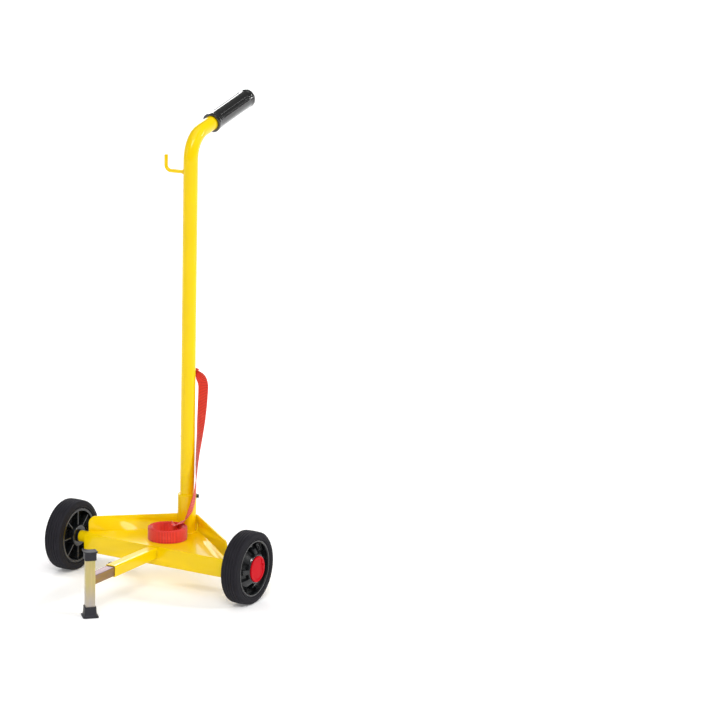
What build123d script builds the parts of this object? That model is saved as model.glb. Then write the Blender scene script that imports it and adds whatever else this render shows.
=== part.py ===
# Single-post cylinder cart: folded steel base on two side wheels, bent post
# with a grip, hose hook and lashing strap, and a sliding front prop leg.
# +Z up, +X to the cart's right, +Y to the back (the side it is pushed from).
import os
from math import cos, sin, tan, radians, atan2, degrees, sqrt
from build123d import *

os.makedirs("parts", exist_ok=True)

# ---------------------------------------------------------------- dimensions
AXLE_Y = -39.44         # axle line, set so the whole object is centred on Y
AXLE_Z = 80.0           # wheel radius
WHEEL_R = 80.0
WHEEL_W = 42.0
TRACK = 460.0           # between wheel centre planes
TYRE_IN_R = 62.0
RIM_IN_R = 57.5
HUB_R = 24.0
RING_R = 31.0           # black ring round the hub cap
BUSH_R = 11.0
AXLE_R = 8.0
RUN_CLEAR = 0.06        # radial, axle to bush
CAP_R = 28.5
AXLE_TUBE_R = 13.0
AXLE_TUBE_HALF = 205.0

PLATE_T = 2.5
PLATE_TOP = 95.5
PLATE_HALF = 182.0      # half length along X
PLATE_FRONT = -22.0     # from the axle line
PLATE_SIDE = 18.0       # short straight end before the wall starts
PLATE_BACK = 141.52
BACK_HALF = 15.0        # half length of the short back wall
WALL_H = 34.8
FLANGE_H = 42.0
CORNER_R = 16.0

OUT_W = 25.0            # outrigger square tube
OUT_WALL = 2.0
OUT_TOP = PLATE_TOP - PLATE_T
OUT_MOUTH = -184.0
SLIDE_W = 20.0          # slide and leg square bar
SLIDE_IN_END = -78.0
LEG_Y = -261.0
LEG_TOP = 141.0
LEG_TURN = 45.0
LOCK_Y = -150.0

MAST_Y = 118.0
MAST_R = 16.0
MAST_WALL = 1.2
MAST_FOOT = PLATE_TOP + 4.0
SOCKET_R = 21.0
SOCKET_WALL = 2.0
SOCKET_TOP = 183.0
SCREW_Z = 177.0         # clamp screw through the socket wall
SCREW_TURN = 33.0       # it points to the right and back
SLOPE = 16.2            # grip's rise above horizontal, degrees
GRIP_START_Y = 200.0
GRIP_START_Z = 1006.0
GRIP_LEN = 164.0
GRIP_R = 22.0
GRIP_BORE = 18.9         # hollow between the grip's two bearing lengths
BEND_R = 65.0

HOOK_Z = 906.5
HOOK_ROD_R = 4.0
HOOK_REACH = 59.5
HOOK_RISE = 35.0
HOOK_BEND = 12.0
STAPLE_Z = 460.0
STAPLE_HALF = 18.0
STRAP_W = 28.0
STRAP_T = 1.6
COIL_X, COIL_Y = -4.0, 44.0
COIL_R, COIL_IN_R = 44.5, 34.0


def y(v):
    """Distance behind the axle line to a Y coordinate."""
    return v + AXLE_Y


axle_line = Axis((0, y(0), AXLE_Z), (1, 0, 0))
spin_plane = Plane(origin=(0, y(0), AXLE_Z), x_dir=(1, 0, 0), z_dir=(0, -1, 0))

# ---------------------------------------------------------------- base plate
outline = [
    (-PLATE_HALF, y(PLATE_FRONT)), (PLATE_HALF, y(PLATE_FRONT)),
    (PLATE_HALF, y(PLATE_FRONT + PLATE_SIDE)), (BACK_HALF, y(PLATE_BACK)),
    (-BACK_HALF, y(PLATE_BACK)), (-PLATE_HALF, y(PLATE_FRONT + PLATE_SIDE)),
]
wall_dx = PLATE_HALF - BACK_HALF
wall_dy = PLATE_BACK - PLATE_FRONT - PLATE_SIDE
wall_len = sqrt(wall_dx ** 2 + wall_dy ** 2)

with BuildPart() as base_plate:
    with BuildSketch(Plane.XY.offset(OUT_TOP)):
        with BuildLine():
            Polyline(*outline, close=True)
        make_face()
    extrude(amount=PLATE_T)
    # front flange, folded down, with rounded lower corners
    with BuildSketch(Plane(origin=(0, y(PLATE_FRONT), PLATE_TOP), x_dir=(1, 0, 0), z_dir=(0, -1, 0))):
        with Locations((0, -FLANGE_H / 2)):
            Rectangle(2 * PLATE_HALF, FLANGE_H)
    extrude(amount=-PLATE_T)
    fillet(base_plate.edges().filter_by(Axis.Y).filter_by_position(Axis.Z, PLATE_TOP - FLANGE_H - 0.5, PLATE_TOP - FLANGE_H + 0.5), 9)
    # side and back walls, folded up
    for side in (1, -1):
        start = Vector(side * PLATE_HALF, y(PLATE_FRONT + PLATE_SIDE), OUT_TOP)
        along = Vector(-side * wall_dx, wall_dy, 0).normalized()
        inward = Vector(-side * wall_dy, -wall_dx, 0).normalized()
        h = WALL_H + PLATE_T
        with BuildSketch(Plane(origin=start, x_dir=along, z_dir=inward)) as wall_face:
            up = 1 if wall_face.workplanes[0].y_dir.Z > 0 else -1
            with BuildLine():
                Line((0, 0), (wall_len, 0))
                Line((wall_len, 0), (wall_len, up * h))
                Line((wall_len, up * h), (CORNER_R, up * h))
                RadiusArc((CORNER_R, up * h), (0, up * (h - CORNER_R)), -up * CORNER_R)
                Line((0, up * (h - CORNER_R)), (0, 0))
            make_face()
            # relief beside the post's socket
            with Locations((wall_len - 3.5, up * (PLATE_T + 8.5))):
                Rectangle(5, 17, mode=Mode.SUBTRACT)
        extrude(amount=PLATE_T)
    with Locations((0, y(PLATE_BACK) - PLATE_T / 2, OUT_TOP + (WALL_H + PLATE_T) / 2)):
        Box(2 * BACK_HALF, PLATE_T, WALL_H + PLATE_T)
    # notch in the flange for the outrigger
    with Locations((0, y(PLATE_FRONT) + 5, OUT_TOP - OUT_W / 2)):
        Box(OUT_W + 0.4, 14, OUT_W + 0.4 - 0.2, mode=Mode.SUBTRACT)
base_plate.part.label = "base_plate"
export_step(base_plate.part, "parts/base_plate.step")

# ---------------------------------------------------------------- axle
with BuildPart() as axle_tube:
    with BuildSketch(spin_plane):
        with Locations((0, (AXLE_TUBE_R + AXLE_R + 0.5) / 2)):
            Rectangle(2 * AXLE_TUBE_HALF, AXLE_TUBE_R - AXLE_R - 0.5)
    revolve(axis=axle_line)
axle_tube.part.label = "axle_tube"
export_step(axle_tube.part, "parts/axle_tube.step")

AXLE_HALF = TRACK / 2 + 20
with BuildPart() as axle_rod:
    with BuildSketch(spin_plane):
        with BuildLine():
            Polyline((-AXLE_HALF, 0), (AXLE_HALF, 0), (AXLE_HALF, AXLE_R - 1), (AXLE_HALF - 1, AXLE_R),
                     (-AXLE_HALF + 1, AXLE_R), (-AXLE_HALF, AXLE_R - 1), close=True)
        make_face()
    revolve(axis=axle_line)
axle_rod.part.label = "axle_rod"
export_step(axle_rod.part, "parts/axle_rod.step")

with BuildPart() as thrust_washers:
    for s in (-1, 1):
        with BuildSketch(spin_plane):
            with Locations((s * (AXLE_TUBE_HALF + 2.3), (14 + AXLE_R) / 2 + 0.05)):
                Rectangle(3.0, 14 - AXLE_R - 0.1)
        revolve(axis=axle_line)
thrust_washers.part.label = "thrust_washers"
export_step(thrust_washers.part, "parts/thrust_washers.step")

with BuildPart() as axle_retainers:
    for s in (-1, 1):
        with BuildSketch(spin_plane):
            with BuildLine():
                x0 = s * (TRACK / 2 + 12.6)
                Polyline((x0, AXLE_R), (x0 + s * 1.2, AXLE_R), (x0 + s * 1.2, 11), (x0 + s * 3.2, 13),
                         (x0 + s * 2.2, 14), (x0, 11.6), close=True)
            make_face()
        revolve(axis=axle_line)
axle_retainers.part.label = "axle_retainers"
export_step(axle_retainers.part, "parts/axle_retainers.step")

# ---------------------------------------------------------------- wheels
HW = WHEEL_W / 2


def tyre_section(c):
    """Tyre section about centre plane x = c, with three tread grooves."""
    pts = [(-HW + 3, TYRE_IN_R), (-HW, TYRE_IN_R + 3), (-HW, 69), (-HW + 1, 71), (-HW + 1, 74.5), (-HW + 2.6, 77.4), (-HW + 5, 78.9)]
    for g in (-9.5, 0, 9.5):
        pts += [(g - 1.6, 80.0), (g - 1.1, 77.6), (g + 1.1, 77.6), (g + 1.6, 80.0)]
    right = [(HW - 5, 78.9), (HW - 2.6, 77.4), (HW - 1, 74.5), (HW - 1, 71), (HW, 69), (HW, TYRE_IN_R + 3), (HW - 3, TYRE_IN_R)]
    pts += right
    return [(c + px, pr) for px, pr in pts]


def rim_section(c, s):
    """Rim section about centre plane x = c; s = +1 puts the outside at +x."""
    pts = [
        (-HW, BUSH_R), (-HW, HUB_R - 1), (-HW + 1, HUB_R), (-3, HUB_R), (-3, RIM_IN_R - 4), (-9, RIM_IN_R),
        (-HW + 1.5, RIM_IN_R), (-HW + 1.5, TYRE_IN_R + 1.4), (-HW + 3, TYRE_IN_R), (HW - 3, TYRE_IN_R),
        (HW - 1.5, TYRE_IN_R + 1.4), (HW - 1.5, RIM_IN_R + 1), (HW - 3, RIM_IN_R), (7, RIM_IN_R - 1), (4, RIM_IN_R - 4), (4, RIM_IN_R - 7),
        (22, RING_R + 1), (24.5, RING_R - 0.5), (24.5, RING_R - 3), (14, RING_R - 3), (12, 22), (12, BUSH_R),
    ]
    return [(c + s * px, pr) for px, pr in pts]


with BuildPart() as right_tyre:
    with BuildSketch(spin_plane):
        with BuildLine():
            Polyline(*tyre_section(TRACK / 2), close=True)
        make_face()
    revolve(axis=axle_line)
right_tyre.part.label = "right_tyre"
export_step(right_tyre.part, "parts/right_tyre.step")

with BuildPart() as left_tyre:
    with BuildSketch(spin_plane):
        with BuildLine():
            Polyline(*tyre_section(-TRACK / 2), close=True)
        make_face()
    revolve(axis=axle_line)
left_tyre.part.label = "left_tyre"
export_step(left_tyre.part, "parts/left_tyre.step")

RIBS = 8
with BuildPart() as right_rim:
    with BuildSketch(spin_plane):
        with BuildLine():
            Polyline(*rim_section(TRACK / 2, 1), close=True)
        make_face()
    revolve(axis=axle_line)
    with BuildSketch(Plane(origin=(TRACK / 2 - 17, y(0), AXLE_Z), x_dir=(0, 1, 0), z_dir=(1, 0, 0))):
        with PolarLocations((RIM_IN_R + HUB_R) / 2, RIBS):
            Rectangle(RIM_IN_R - HUB_R + 1, 3)
    extrude(amount=15)
right_rim.part.label = "right_rim"
export_step(right_rim.part, "parts/right_rim.step")

with BuildPart() as left_rim:
    with BuildSketch(spin_plane):
        with BuildLine():
            Polyline(*rim_section(-TRACK / 2, -1), close=True)
        make_face()
    revolve(axis=axle_line)
    with BuildSketch(Plane(origin=(-TRACK / 2 + 17, y(0), AXLE_Z), x_dir=(0, 1, 0), z_dir=(1, 0, 0))):
        with PolarLocations((RIM_IN_R + HUB_R) / 2, RIBS):
            Rectangle(RIM_IN_R - HUB_R + 1, 3)
    extrude(amount=-15)
left_rim.part.label = "left_rim"
export_step(left_rim.part, "parts/left_rim.step")

with BuildPart() as right_bush:
    with BuildSketch(spin_plane):
        with Locations((TRACK / 2 - 4.5, (BUSH_R + AXLE_R + RUN_CLEAR) / 2)):
            Rectangle(33, BUSH_R - AXLE_R - RUN_CLEAR)
    revolve(axis=axle_line)
right_bush.part.label = "right_bush"
export_step(right_bush.part, "parts/right_bush.step")

with BuildPart() as left_bush:
    with BuildSketch(spin_plane):
        with Locations((-TRACK / 2 + 4.5, (BUSH_R + AXLE_R + RUN_CLEAR) / 2)):
            Rectangle(33, BUSH_R - AXLE_R - RUN_CLEAR)
    revolve(axis=axle_line)
left_bush.part.label = "left_bush"
export_step(left_bush.part, "parts/left_bush.step")


def cap_section(c, s):
    pts = [
        (24.55, RING_R - 3.02), (24.55, CAP_R), (26.6, CAP_R), (27.5, CAP_R - 1), (27.5, CAP_R - 4.5), (26.2, CAP_R - 6), (26.2, 0),
        (23.4, 0), (23.4, CAP_R - 5), (22, CAP_R - 3.5), (15, CAP_R - 3), (15, RING_R - 3.02),
    ]
    return [(c + s * px, pr) for px, pr in pts]


with BuildPart() as right_hub_cap:
    with BuildSketch(spin_plane):
        with BuildLine():
            Polyline(*cap_section(TRACK / 2, 1), close=True)
        make_face()
    revolve(axis=axle_line)
right_hub_cap.part.label = "right_hub_cap"
export_step(right_hub_cap.part, "parts/right_hub_cap.step")

with BuildPart() as left_hub_cap:
    with BuildSketch(spin_plane):
        with BuildLine():
            Polyline(*cap_section(-TRACK / 2, -1), close=True)
        make_face()
    revolve(axis=axle_line)
left_hub_cap.part.label = "left_hub_cap"
export_step(left_hub_cap.part, "parts/left_hub_cap.step")

# ---------------------------------------------------------------- outrigger
OUT_Z = OUT_TOP - OUT_W / 2
OUT_LEN = -AXLE_TUBE_R - 0.5 - OUT_MOUTH
with BuildPart() as outrigger_tube:
    with BuildSketch(Plane(origin=(0, y(OUT_MOUTH), OUT_Z), x_dir=(1, 0, 0), z_dir=(0, 1, 0))):
        RectangleRounded(OUT_W, OUT_W, 2.6)
        RectangleRounded(OUT_W - 2 * OUT_WALL, OUT_W - 2 * OUT_WALL, 0.8, mode=Mode.SUBTRACT)
    extrude(amount=OUT_LEN)
    with BuildSketch(Plane(origin=(0, y(LOCK_Y), OUT_Z), x_dir=(0, 1, 0), z_dir=(-1, 0, 0))):
        Circle(4.6)
    extrude(amount=OUT_W / 2 + 1, mode=Mode.SUBTRACT)
outrigger_tube.part.label = "outrigger_tube"
export_step(outrigger_tube.part, "parts/outrigger_tube.step")

lock_plane = Plane(origin=(-OUT_W / 2, y(LOCK_Y), OUT_Z), x_dir=(0, 1, 0), z_dir=(-1, 0, 0))
with BuildPart() as lock_nut:
    with BuildSketch(lock_plane):
        RegularPolygon(7.5, 6)
        Circle(4.07, mode=Mode.SUBTRACT)
    extrude(amount=6.5)
lock_nut.part.label = "lock_nut"
export_step(lock_nut.part, "parts/lock_nut.step")

with BuildPart() as lock_bolt:
    with BuildSketch(lock_plane.offset(-(OUT_W / 2 - SLIDE_W / 2 - 0.4))):
        Circle(4.0)
    extrude(amount=OUT_W / 2 - SLIDE_W / 2 - 0.4 + 8.5)
    with BuildSketch(lock_plane.offset(8.5)):
        RegularPolygon(7.5, 6)
    extrude(amount=5.3)
lock_bolt.part.label = "lock_bolt"
export_step(lock_bolt.part, "parts/lock_bolt.step")

leg_plane = Plane(origin=(0, y(LEG_Y), 0), x_dir=(cos(radians(LEG_TURN)), sin(radians(LEG_TURN)), 0), z_dir=(0, 0, 1))
with BuildPart() as slide_bar:
    with BuildSketch(Plane(origin=(0, y(LEG_Y), OUT_Z), x_dir=(1, 0, 0), z_dir=(0, 1, 0))):
        RectangleRounded(SLIDE_W, SLIDE_W, 1.2)
    extrude(amount=SLIDE_IN_END - LEG_Y)
    chamfer(slide_bar.faces().sort_by(Axis.Y)[-1].edges(), 0.8)
    with BuildSketch(leg_plane.offset(OUT_Z - 30)):
        Rectangle(SLIDE_W, SLIDE_W)
    extrude(amount=60, mode=Mode.SUBTRACT)
    with Locations((0, y(LEG_Y) - 30, OUT_Z)):
        Box(80, 60, 80, mode=Mode.SUBTRACT)
slide_bar.part.label = "slide_bar"
export_step(slide_bar.part, "parts/slide_bar.step")

with BuildPart() as leg_post:
    with BuildSketch(leg_plane.offset(3.5)):
        RectangleRounded(SLIDE_W, SLIDE_W, 1.2)
    extrude(amount=LEG_TOP - 3.5)
leg_post.part.label = "leg_post"
export_step(leg_post.part, "parts/leg_post.step")

with BuildPart() as leg_foot:
    with BuildSketch(leg_plane):
        RectangleRounded(34, 34, 4)
    extrude(amount=2.5)
    with BuildSketch(leg_plane.offset(2.5)):
        RectangleRounded(34, 34, 4)
    with BuildSketch(leg_plane.offset(10)):
        RectangleRounded(24.5, 24.5, 3)
    loft()
    with BuildSketch(leg_plane.offset(10)):
        RectangleRounded(24.5, 24.5, 3)
    extrude(amount=16)
    with BuildSketch(leg_plane.offset(3.5)):
        RectangleRounded(SLIDE_W + 0.04, SLIDE_W + 0.04, 1.2)
    extrude(amount=30, mode=Mode.SUBTRACT)
leg_foot.part.label = "leg_foot"
export_step(leg_foot.part, "parts/leg_foot.step")

with BuildPart() as leg_top_cap:
    with BuildSketch(leg_plane.offset(LEG_TOP - 15.5)):
        RectangleRounded(25, 25, 3)
    extrude(amount=15.5)
    with BuildSketch(leg_plane.offset(LEG_TOP)):
        RectangleRounded(31, 31, 4)
    extrude(amount=5.5)
    fillet(leg_top_cap.faces().sort_by(Axis.Z)[-1].edges(), 1.5)
    with BuildSketch(leg_plane.offset(LEG_TOP - 30)):
        RectangleRounded(SLIDE_W + 0.04, SLIDE_W + 0.04, 1.2)
    extrude(amount=30, mode=Mode.SUBTRACT)
leg_top_cap.part.label = "leg_top_cap"
export_step(leg_top_cap.part, "parts/leg_top_cap.step")

# ---------------------------------------------------------------- post
mast_axis = Axis((0, y(MAST_Y), 0), (0, 0, 1))
screw_hole_plane = Plane(origin=(0, y(MAST_Y), SCREW_Z), x_dir=(-sin(radians(SCREW_TURN)), cos(radians(SCREW_TURN)), 0),
                         z_dir=(cos(radians(SCREW_TURN)), sin(radians(SCREW_TURN)), 0))
with BuildPart() as mast_socket:
    with BuildSketch(Plane(origin=(0, y(MAST_Y), 0), x_dir=(1, 0, 0), z_dir=(0, -1, 0))):
        with BuildLine():
            Polyline((MAST_R + 0.1, PLATE_TOP), (SOCKET_R, PLATE_TOP), (SOCKET_R, SOCKET_TOP - 1.5), (SOCKET_R - 1.5, SOCKET_TOP),
                     (MAST_R + 0.1, SOCKET_TOP), (MAST_R + 0.1, SOCKET_TOP - 6), (SOCKET_R - SOCKET_WALL, SOCKET_TOP - 6),
                     (SOCKET_R - SOCKET_WALL, PLATE_TOP + 6), (MAST_R + 0.1, PLATE_TOP + 6), close=True)
        make_face()
    revolve(axis=mast_axis)
    with BuildSketch(screw_hole_plane):
        Circle(3.05)
    extrude(amount=40, mode=Mode.SUBTRACT)
mast_socket.part.label = "mast_socket"
export_step(mast_socket.part, "parts/mast_socket.step")

up_dir = (0, cos(radians(SLOPE)), sin(radians(SLOPE)))
corner_z = GRIP_START_Z - (GRIP_START_Y - MAST_Y) * tan(radians(SLOPE))
tangent = BEND_R * tan(radians(90 - SLOPE) / 2)
mast_end = GRIP_LEN - 9
p0 = (0, y(MAST_Y), MAST_FOOT)
p1 = (0, y(MAST_Y), corner_z - tangent)
p2 = (0, y(MAST_Y + tangent * up_dir[1]), corner_z + tangent * up_dir[2])
p3 = (0, y(GRIP_START_Y + mast_end * up_dir[1]), GRIP_START_Z + mast_end * up_dir[2])
half = radians(90 - SLOPE) / 2
bend_c = (0, y(MAST_Y + BEND_R), corner_z - tangent)
mid_a = radians(180) - half
pm = (0, bend_c[1] + BEND_R * cos(mid_a), bend_c[2] + BEND_R * sin(mid_a))
with BuildPart() as mast_tube:
    with BuildLine() as mast_path:
        Line(p0, p1)
        ThreePointArc(p1, pm, p2)
        Line(p2, p3)
    with BuildSketch(Plane(origin=p0, x_dir=(1, 0, 0), z_dir=(0, 0, 1))):
        Circle(MAST_R)
        Circle(MAST_R - MAST_WALL, mode=Mode.SUBTRACT)
    sweep(path=mast_path.wire())
    with BuildSketch(screw_hole_plane):
        Circle(3.05)
    extrude(amount=40, mode=Mode.SUBTRACT)
    with BuildSketch(Plane(origin=(0, y(MAST_Y), 313), x_dir=(0, 1, 0), z_dir=(-1, 0, 0))):
        Circle(2.05)
    extrude(amount=30, mode=Mode.SUBTRACT)
mast_tube.part.label = "mast_tube"
export_step(mast_tube.part, "parts/mast_tube.step")

out = (cos(radians(SCREW_TURN)), sin(radians(SCREW_TURN)), 0)
side_dir = (-sin(radians(SCREW_TURN)), cos(radians(SCREW_TURN)), 0)
screw_plane = Plane(origin=(0, y(MAST_Y), SCREW_Z), x_dir=side_dir, z_dir=out)
with BuildPart() as socket_screw:
    with BuildSketch(screw_plane.offset(MAST_R - 4)):
        Circle(3.0)
    extrude(amount=SOCKET_R - MAST_R + 5.4)
    with BuildSketch(screw_plane.offset(SOCKET_R + 1.4)):
        Circle(4.2)
        RegularPolygon(2.5, 6, mode=Mode.SUBTRACT)
    extrude(amount=4.2)
    with BuildSketch(screw_plane.offset(SOCKET_R + 1.4)):
        RegularPolygon(2.6, 6)
    extrude(amount=1.4)
socket_screw.part.label = "socket_screw"
export_step(socket_screw.part, "parts/socket_screw.step")

with BuildPart() as screw_washer:
    with BuildSketch(screw_plane.offset(SOCKET_R + 0.2)):
        Circle(5.5)
        Circle(3.15, mode=Mode.SUBTRACT)
    extrude(amount=1.2)
screw_washer.part.label = "screw_washer"
export_step(screw_washer.part, "parts/screw_washer.step")

with BuildPart() as mast_rivet:
    with BuildSketch(Plane(origin=(-MAST_R + 4, y(MAST_Y), 313), x_dir=(0, 1, 0), z_dir=(-1, 0, 0))):
        Circle(2.0)
    extrude(amount=5.2)
    with BuildSketch(Plane(origin=(-MAST_R - 0.2, y(MAST_Y), 313), x_dir=(0, 1, 0), z_dir=(-1, 0, 0))):
        Circle(4.2)
    extrude(amount=2.2, taper=20)
mast_rivet.part.label = "mast_rivet"
export_step(mast_rivet.part, "parts/mast_rivet.step")

grip_plane = Plane(origin=(0, y(GRIP_START_Y), GRIP_START_Z), x_dir=(1, 0, 0), z_dir=up_dir)
grip_axis = Axis((0, y(GRIP_START_Y), GRIP_START_Z), up_dir)
grip_section = Plane(origin=(0, y(GRIP_START_Y), GRIP_START_Z), x_dir=(1, 0, 0), z_dir=(0, sin(radians(SLOPE)), -cos(radians(SLOPE))))
with BuildPart() as handle_grip:
    with BuildSketch(grip_section) as gs:
        sg = 1 if grip_section.y_dir.Y > 0 else -1
        with BuildLine():
            Polyline((MAST_R + 0.04, 0), (GRIP_R - 1, 0), (GRIP_R, sg * 1), (GRIP_R, sg * 8), (GRIP_R - 1.2, sg * 11),
                     (GRIP_R - 1.5, sg * (GRIP_LEN - 20)), (GRIP_R - 0.3, sg * (GRIP_LEN - 10)), (GRIP_R - 1.2, sg * (GRIP_LEN - 4)),
                     (GRIP_R - 5, sg * (GRIP_LEN - 0.8)), (GRIP_R - 9, sg * GRIP_LEN), (0, sg * GRIP_LEN),
                     (0, sg * (GRIP_LEN - 5)), (MAST_R + 0.04, sg * (GRIP_LEN - 5)), (MAST_R + 0.04, sg * (GRIP_LEN - 20)),
                     (GRIP_BORE, sg * (GRIP_LEN - 23)), (GRIP_BORE, sg * 15), (MAST_R + 0.04, sg * 12), close=True)
        make_face()
    revolve(axis=grip_axis)
handle_grip.part.label = "handle_grip"
export_step(handle_grip.part, "parts/handle_grip.step")

with BuildPart() as hose_hook:
    hy = y(MAST_Y) - 6
    hx = -sqrt(MAST_R ** 2 - 36)
    with BuildLine() as hook_path:
        Line((hx + 4, hy, HOOK_Z), (-HOOK_REACH + HOOK_BEND, hy, HOOK_Z))
        ThreePointArc((-HOOK_REACH + HOOK_BEND, hy, HOOK_Z),
                      (-HOOK_REACH + HOOK_BEND * (1 - cos(radians(45))), hy, HOOK_Z + HOOK_BEND * (1 - sin(radians(45)))),
                      (-HOOK_REACH, hy, HOOK_Z + HOOK_BEND))
        Line((-HOOK_REACH, hy, HOOK_Z + HOOK_BEND), (-HOOK_REACH, hy, HOOK_Z + HOOK_RISE))
    with BuildSketch(Plane(origin=(hx + 4, hy, HOOK_Z), x_dir=(0, 1, 0), z_dir=(-1, 0, 0))):
        Circle(HOOK_ROD_R)
    sweep(path=hook_path.wire())
    with BuildSketch(Plane(origin=(0, y(MAST_Y), HOOK_Z - 30))):
        Circle(MAST_R + 0.02)
    extrude(amount=60, mode=Mode.SUBTRACT)
hose_hook.part.label = "hose_hook"
export_step(hose_hook.part, "parts/hose_hook.step")

with BuildPart() as strap_staple:
    sy = y(MAST_Y) + MAST_R
    with BuildLine() as staple_path:
        Polyline((0, sy - 2, STAPLE_Z - STAPLE_HALF), (0, sy + 9.5, STAPLE_Z - STAPLE_HALF),
                 (0, sy + 9.5, STAPLE_Z + STAPLE_HALF), (0, sy - 2, STAPLE_Z + STAPLE_HALF))
    with BuildSketch(Plane(origin=(0, sy - 2, STAPLE_Z - STAPLE_HALF), x_dir=(1, 0, 0), z_dir=(0, 1, 0))):
        Circle(2.5)
    sweep(path=staple_path.wire(), transition=Transition.ROUND)
    with BuildSketch(Plane(origin=(0, y(MAST_Y), STAPLE_Z - 40))):
        Circle(MAST_R + 0.02)
    extrude(amount=80, mode=Mode.SUBTRACT)
strap_staple.part.label = "strap_staple"
export_step(strap_staple.part, "parts/strap_staple.step")

# ---------------------------------------------------------------- strap
# stations down the hanging run: x, y from the axle line, z, bearing of the webbing's width
RUN = [
    (25.5, 137.5, 448, -2), (27, 137, 432, -2), (24.5, 136.2, 370, -12), (21.5, 133, 329, -24), (20, 128.4, 289, -40),
    (22, 120.5, 233, -52), (26.8, 112, 200, -64), (26.6, 105, 173, -80), (24.9, 96, 150, -80), (19.8, 87, 134, -62), (14.8, 78.5, 126.4, -38),
]
with BuildPart() as strap_run:
    for i, (sx, sy_, sz, turn) in enumerate(RUN):
        a = RUN[max(i - 1, 0)]
        b = RUN[min(i + 1, len(RUN) - 1)]
        d = Vector(b[0] - a[0], b[1] - a[1], b[2] - a[2]).normalized()
        w = Vector(cos(radians(turn)), sin(radians(turn)), 0)
        w = (w - d * w.dot(d)).normalized()
        with BuildSketch(Plane(origin=(sx, y(sy_), sz), x_dir=w, z_dir=d)):
            Rectangle(STRAP_W * (0.5 if i == 0 else 1), STRAP_T)
    loft(ruled=True)
strap_run.part.label = "strap_run"
export_step(strap_run.part, "parts/strap_run.step")

with BuildPart() as strap_loop:
    with Locations((0, y(MAST_Y) + MAST_R + 4, STAPLE_Z)):
        Box(34, STRAP_T * 2, STRAP_W)
strap_loop.part.label = "strap_loop"
export_step(strap_loop.part, "parts/strap_loop.step")

with BuildPart() as strap_coil:
    with BuildSketch(Plane(origin=(COIL_X, y(COIL_Y), PLATE_TOP))):
        Circle(COIL_R)
        Circle(COIL_IN_R, mode=Mode.SUBTRACT)
    extrude(amount=STRAP_W)
strap_coil.part.label = "strap_coil"
export_step(strap_coil.part, "parts/strap_coil.step")
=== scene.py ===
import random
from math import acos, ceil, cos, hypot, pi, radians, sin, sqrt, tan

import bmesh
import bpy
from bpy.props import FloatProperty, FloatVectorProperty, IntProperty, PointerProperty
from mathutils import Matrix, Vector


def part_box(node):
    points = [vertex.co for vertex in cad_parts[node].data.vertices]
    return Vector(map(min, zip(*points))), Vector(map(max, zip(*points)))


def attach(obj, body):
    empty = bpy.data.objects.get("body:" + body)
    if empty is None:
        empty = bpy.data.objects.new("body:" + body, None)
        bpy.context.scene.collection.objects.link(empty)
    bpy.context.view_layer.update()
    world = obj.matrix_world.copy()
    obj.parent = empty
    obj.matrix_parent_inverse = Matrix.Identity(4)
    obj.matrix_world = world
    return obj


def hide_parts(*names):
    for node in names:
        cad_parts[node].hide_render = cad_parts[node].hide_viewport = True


bl_info = {
    "name": "Cylinder Cart",
    "version": (1, 0, 0),
    "blender": (4, 5, 0),
    "location": "View3D > Sidebar > Cart",
    "description": "Builds a two-wheeled gas cylinder cart piece by piece round its engineering model",
    "category": "Add Mesh",
}

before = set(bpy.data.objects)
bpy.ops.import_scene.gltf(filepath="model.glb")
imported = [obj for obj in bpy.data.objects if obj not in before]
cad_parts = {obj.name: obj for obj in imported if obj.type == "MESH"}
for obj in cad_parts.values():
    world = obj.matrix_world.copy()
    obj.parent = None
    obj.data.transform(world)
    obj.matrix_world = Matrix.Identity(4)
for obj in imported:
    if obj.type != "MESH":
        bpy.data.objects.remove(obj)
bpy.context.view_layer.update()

MM = 0.001
X, Y, Z = Vector((1, 0, 0)), Vector((0, 1, 0)), Vector((0, 0, 1))
FULL = 2 * pi


# ------------------------------------------------------------ places, read from the frame
def middle(node):
    low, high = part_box(node)
    return (low + high) / 2


AXLE = middle("axle_rod")                        # a point on the axle line
PLATE_LOW, PLATE_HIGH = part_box("base_plate")
TUBE_LOW, TUBE_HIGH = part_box("outrigger_tube")
SOCKET_LOW, SOCKET_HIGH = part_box("mast_socket")
POST = middle("mast_socket")                     # a point on the post's line
LEG = middle("leg_post")
NUT_LOW, NUT_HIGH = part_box("lock_nut")
COIL_LOW, COIL_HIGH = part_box("strap_coil")
RAIL_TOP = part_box("slide_bar")[1].z
PLATE_TOP = SOCKET_LOW.z
PLATE_FRONT = PLATE_LOW.y
SHEET = 2.5 * MM                                 # thickness of the tray's steel
STAPLE_WIRE = 2.5 * MM                           # radius of the staple's rod
GRIP_BACK, GRIP_HEIGHT = 200 * MM, 1006 * MM     # the grip's start, from the axle and the floor


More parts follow.
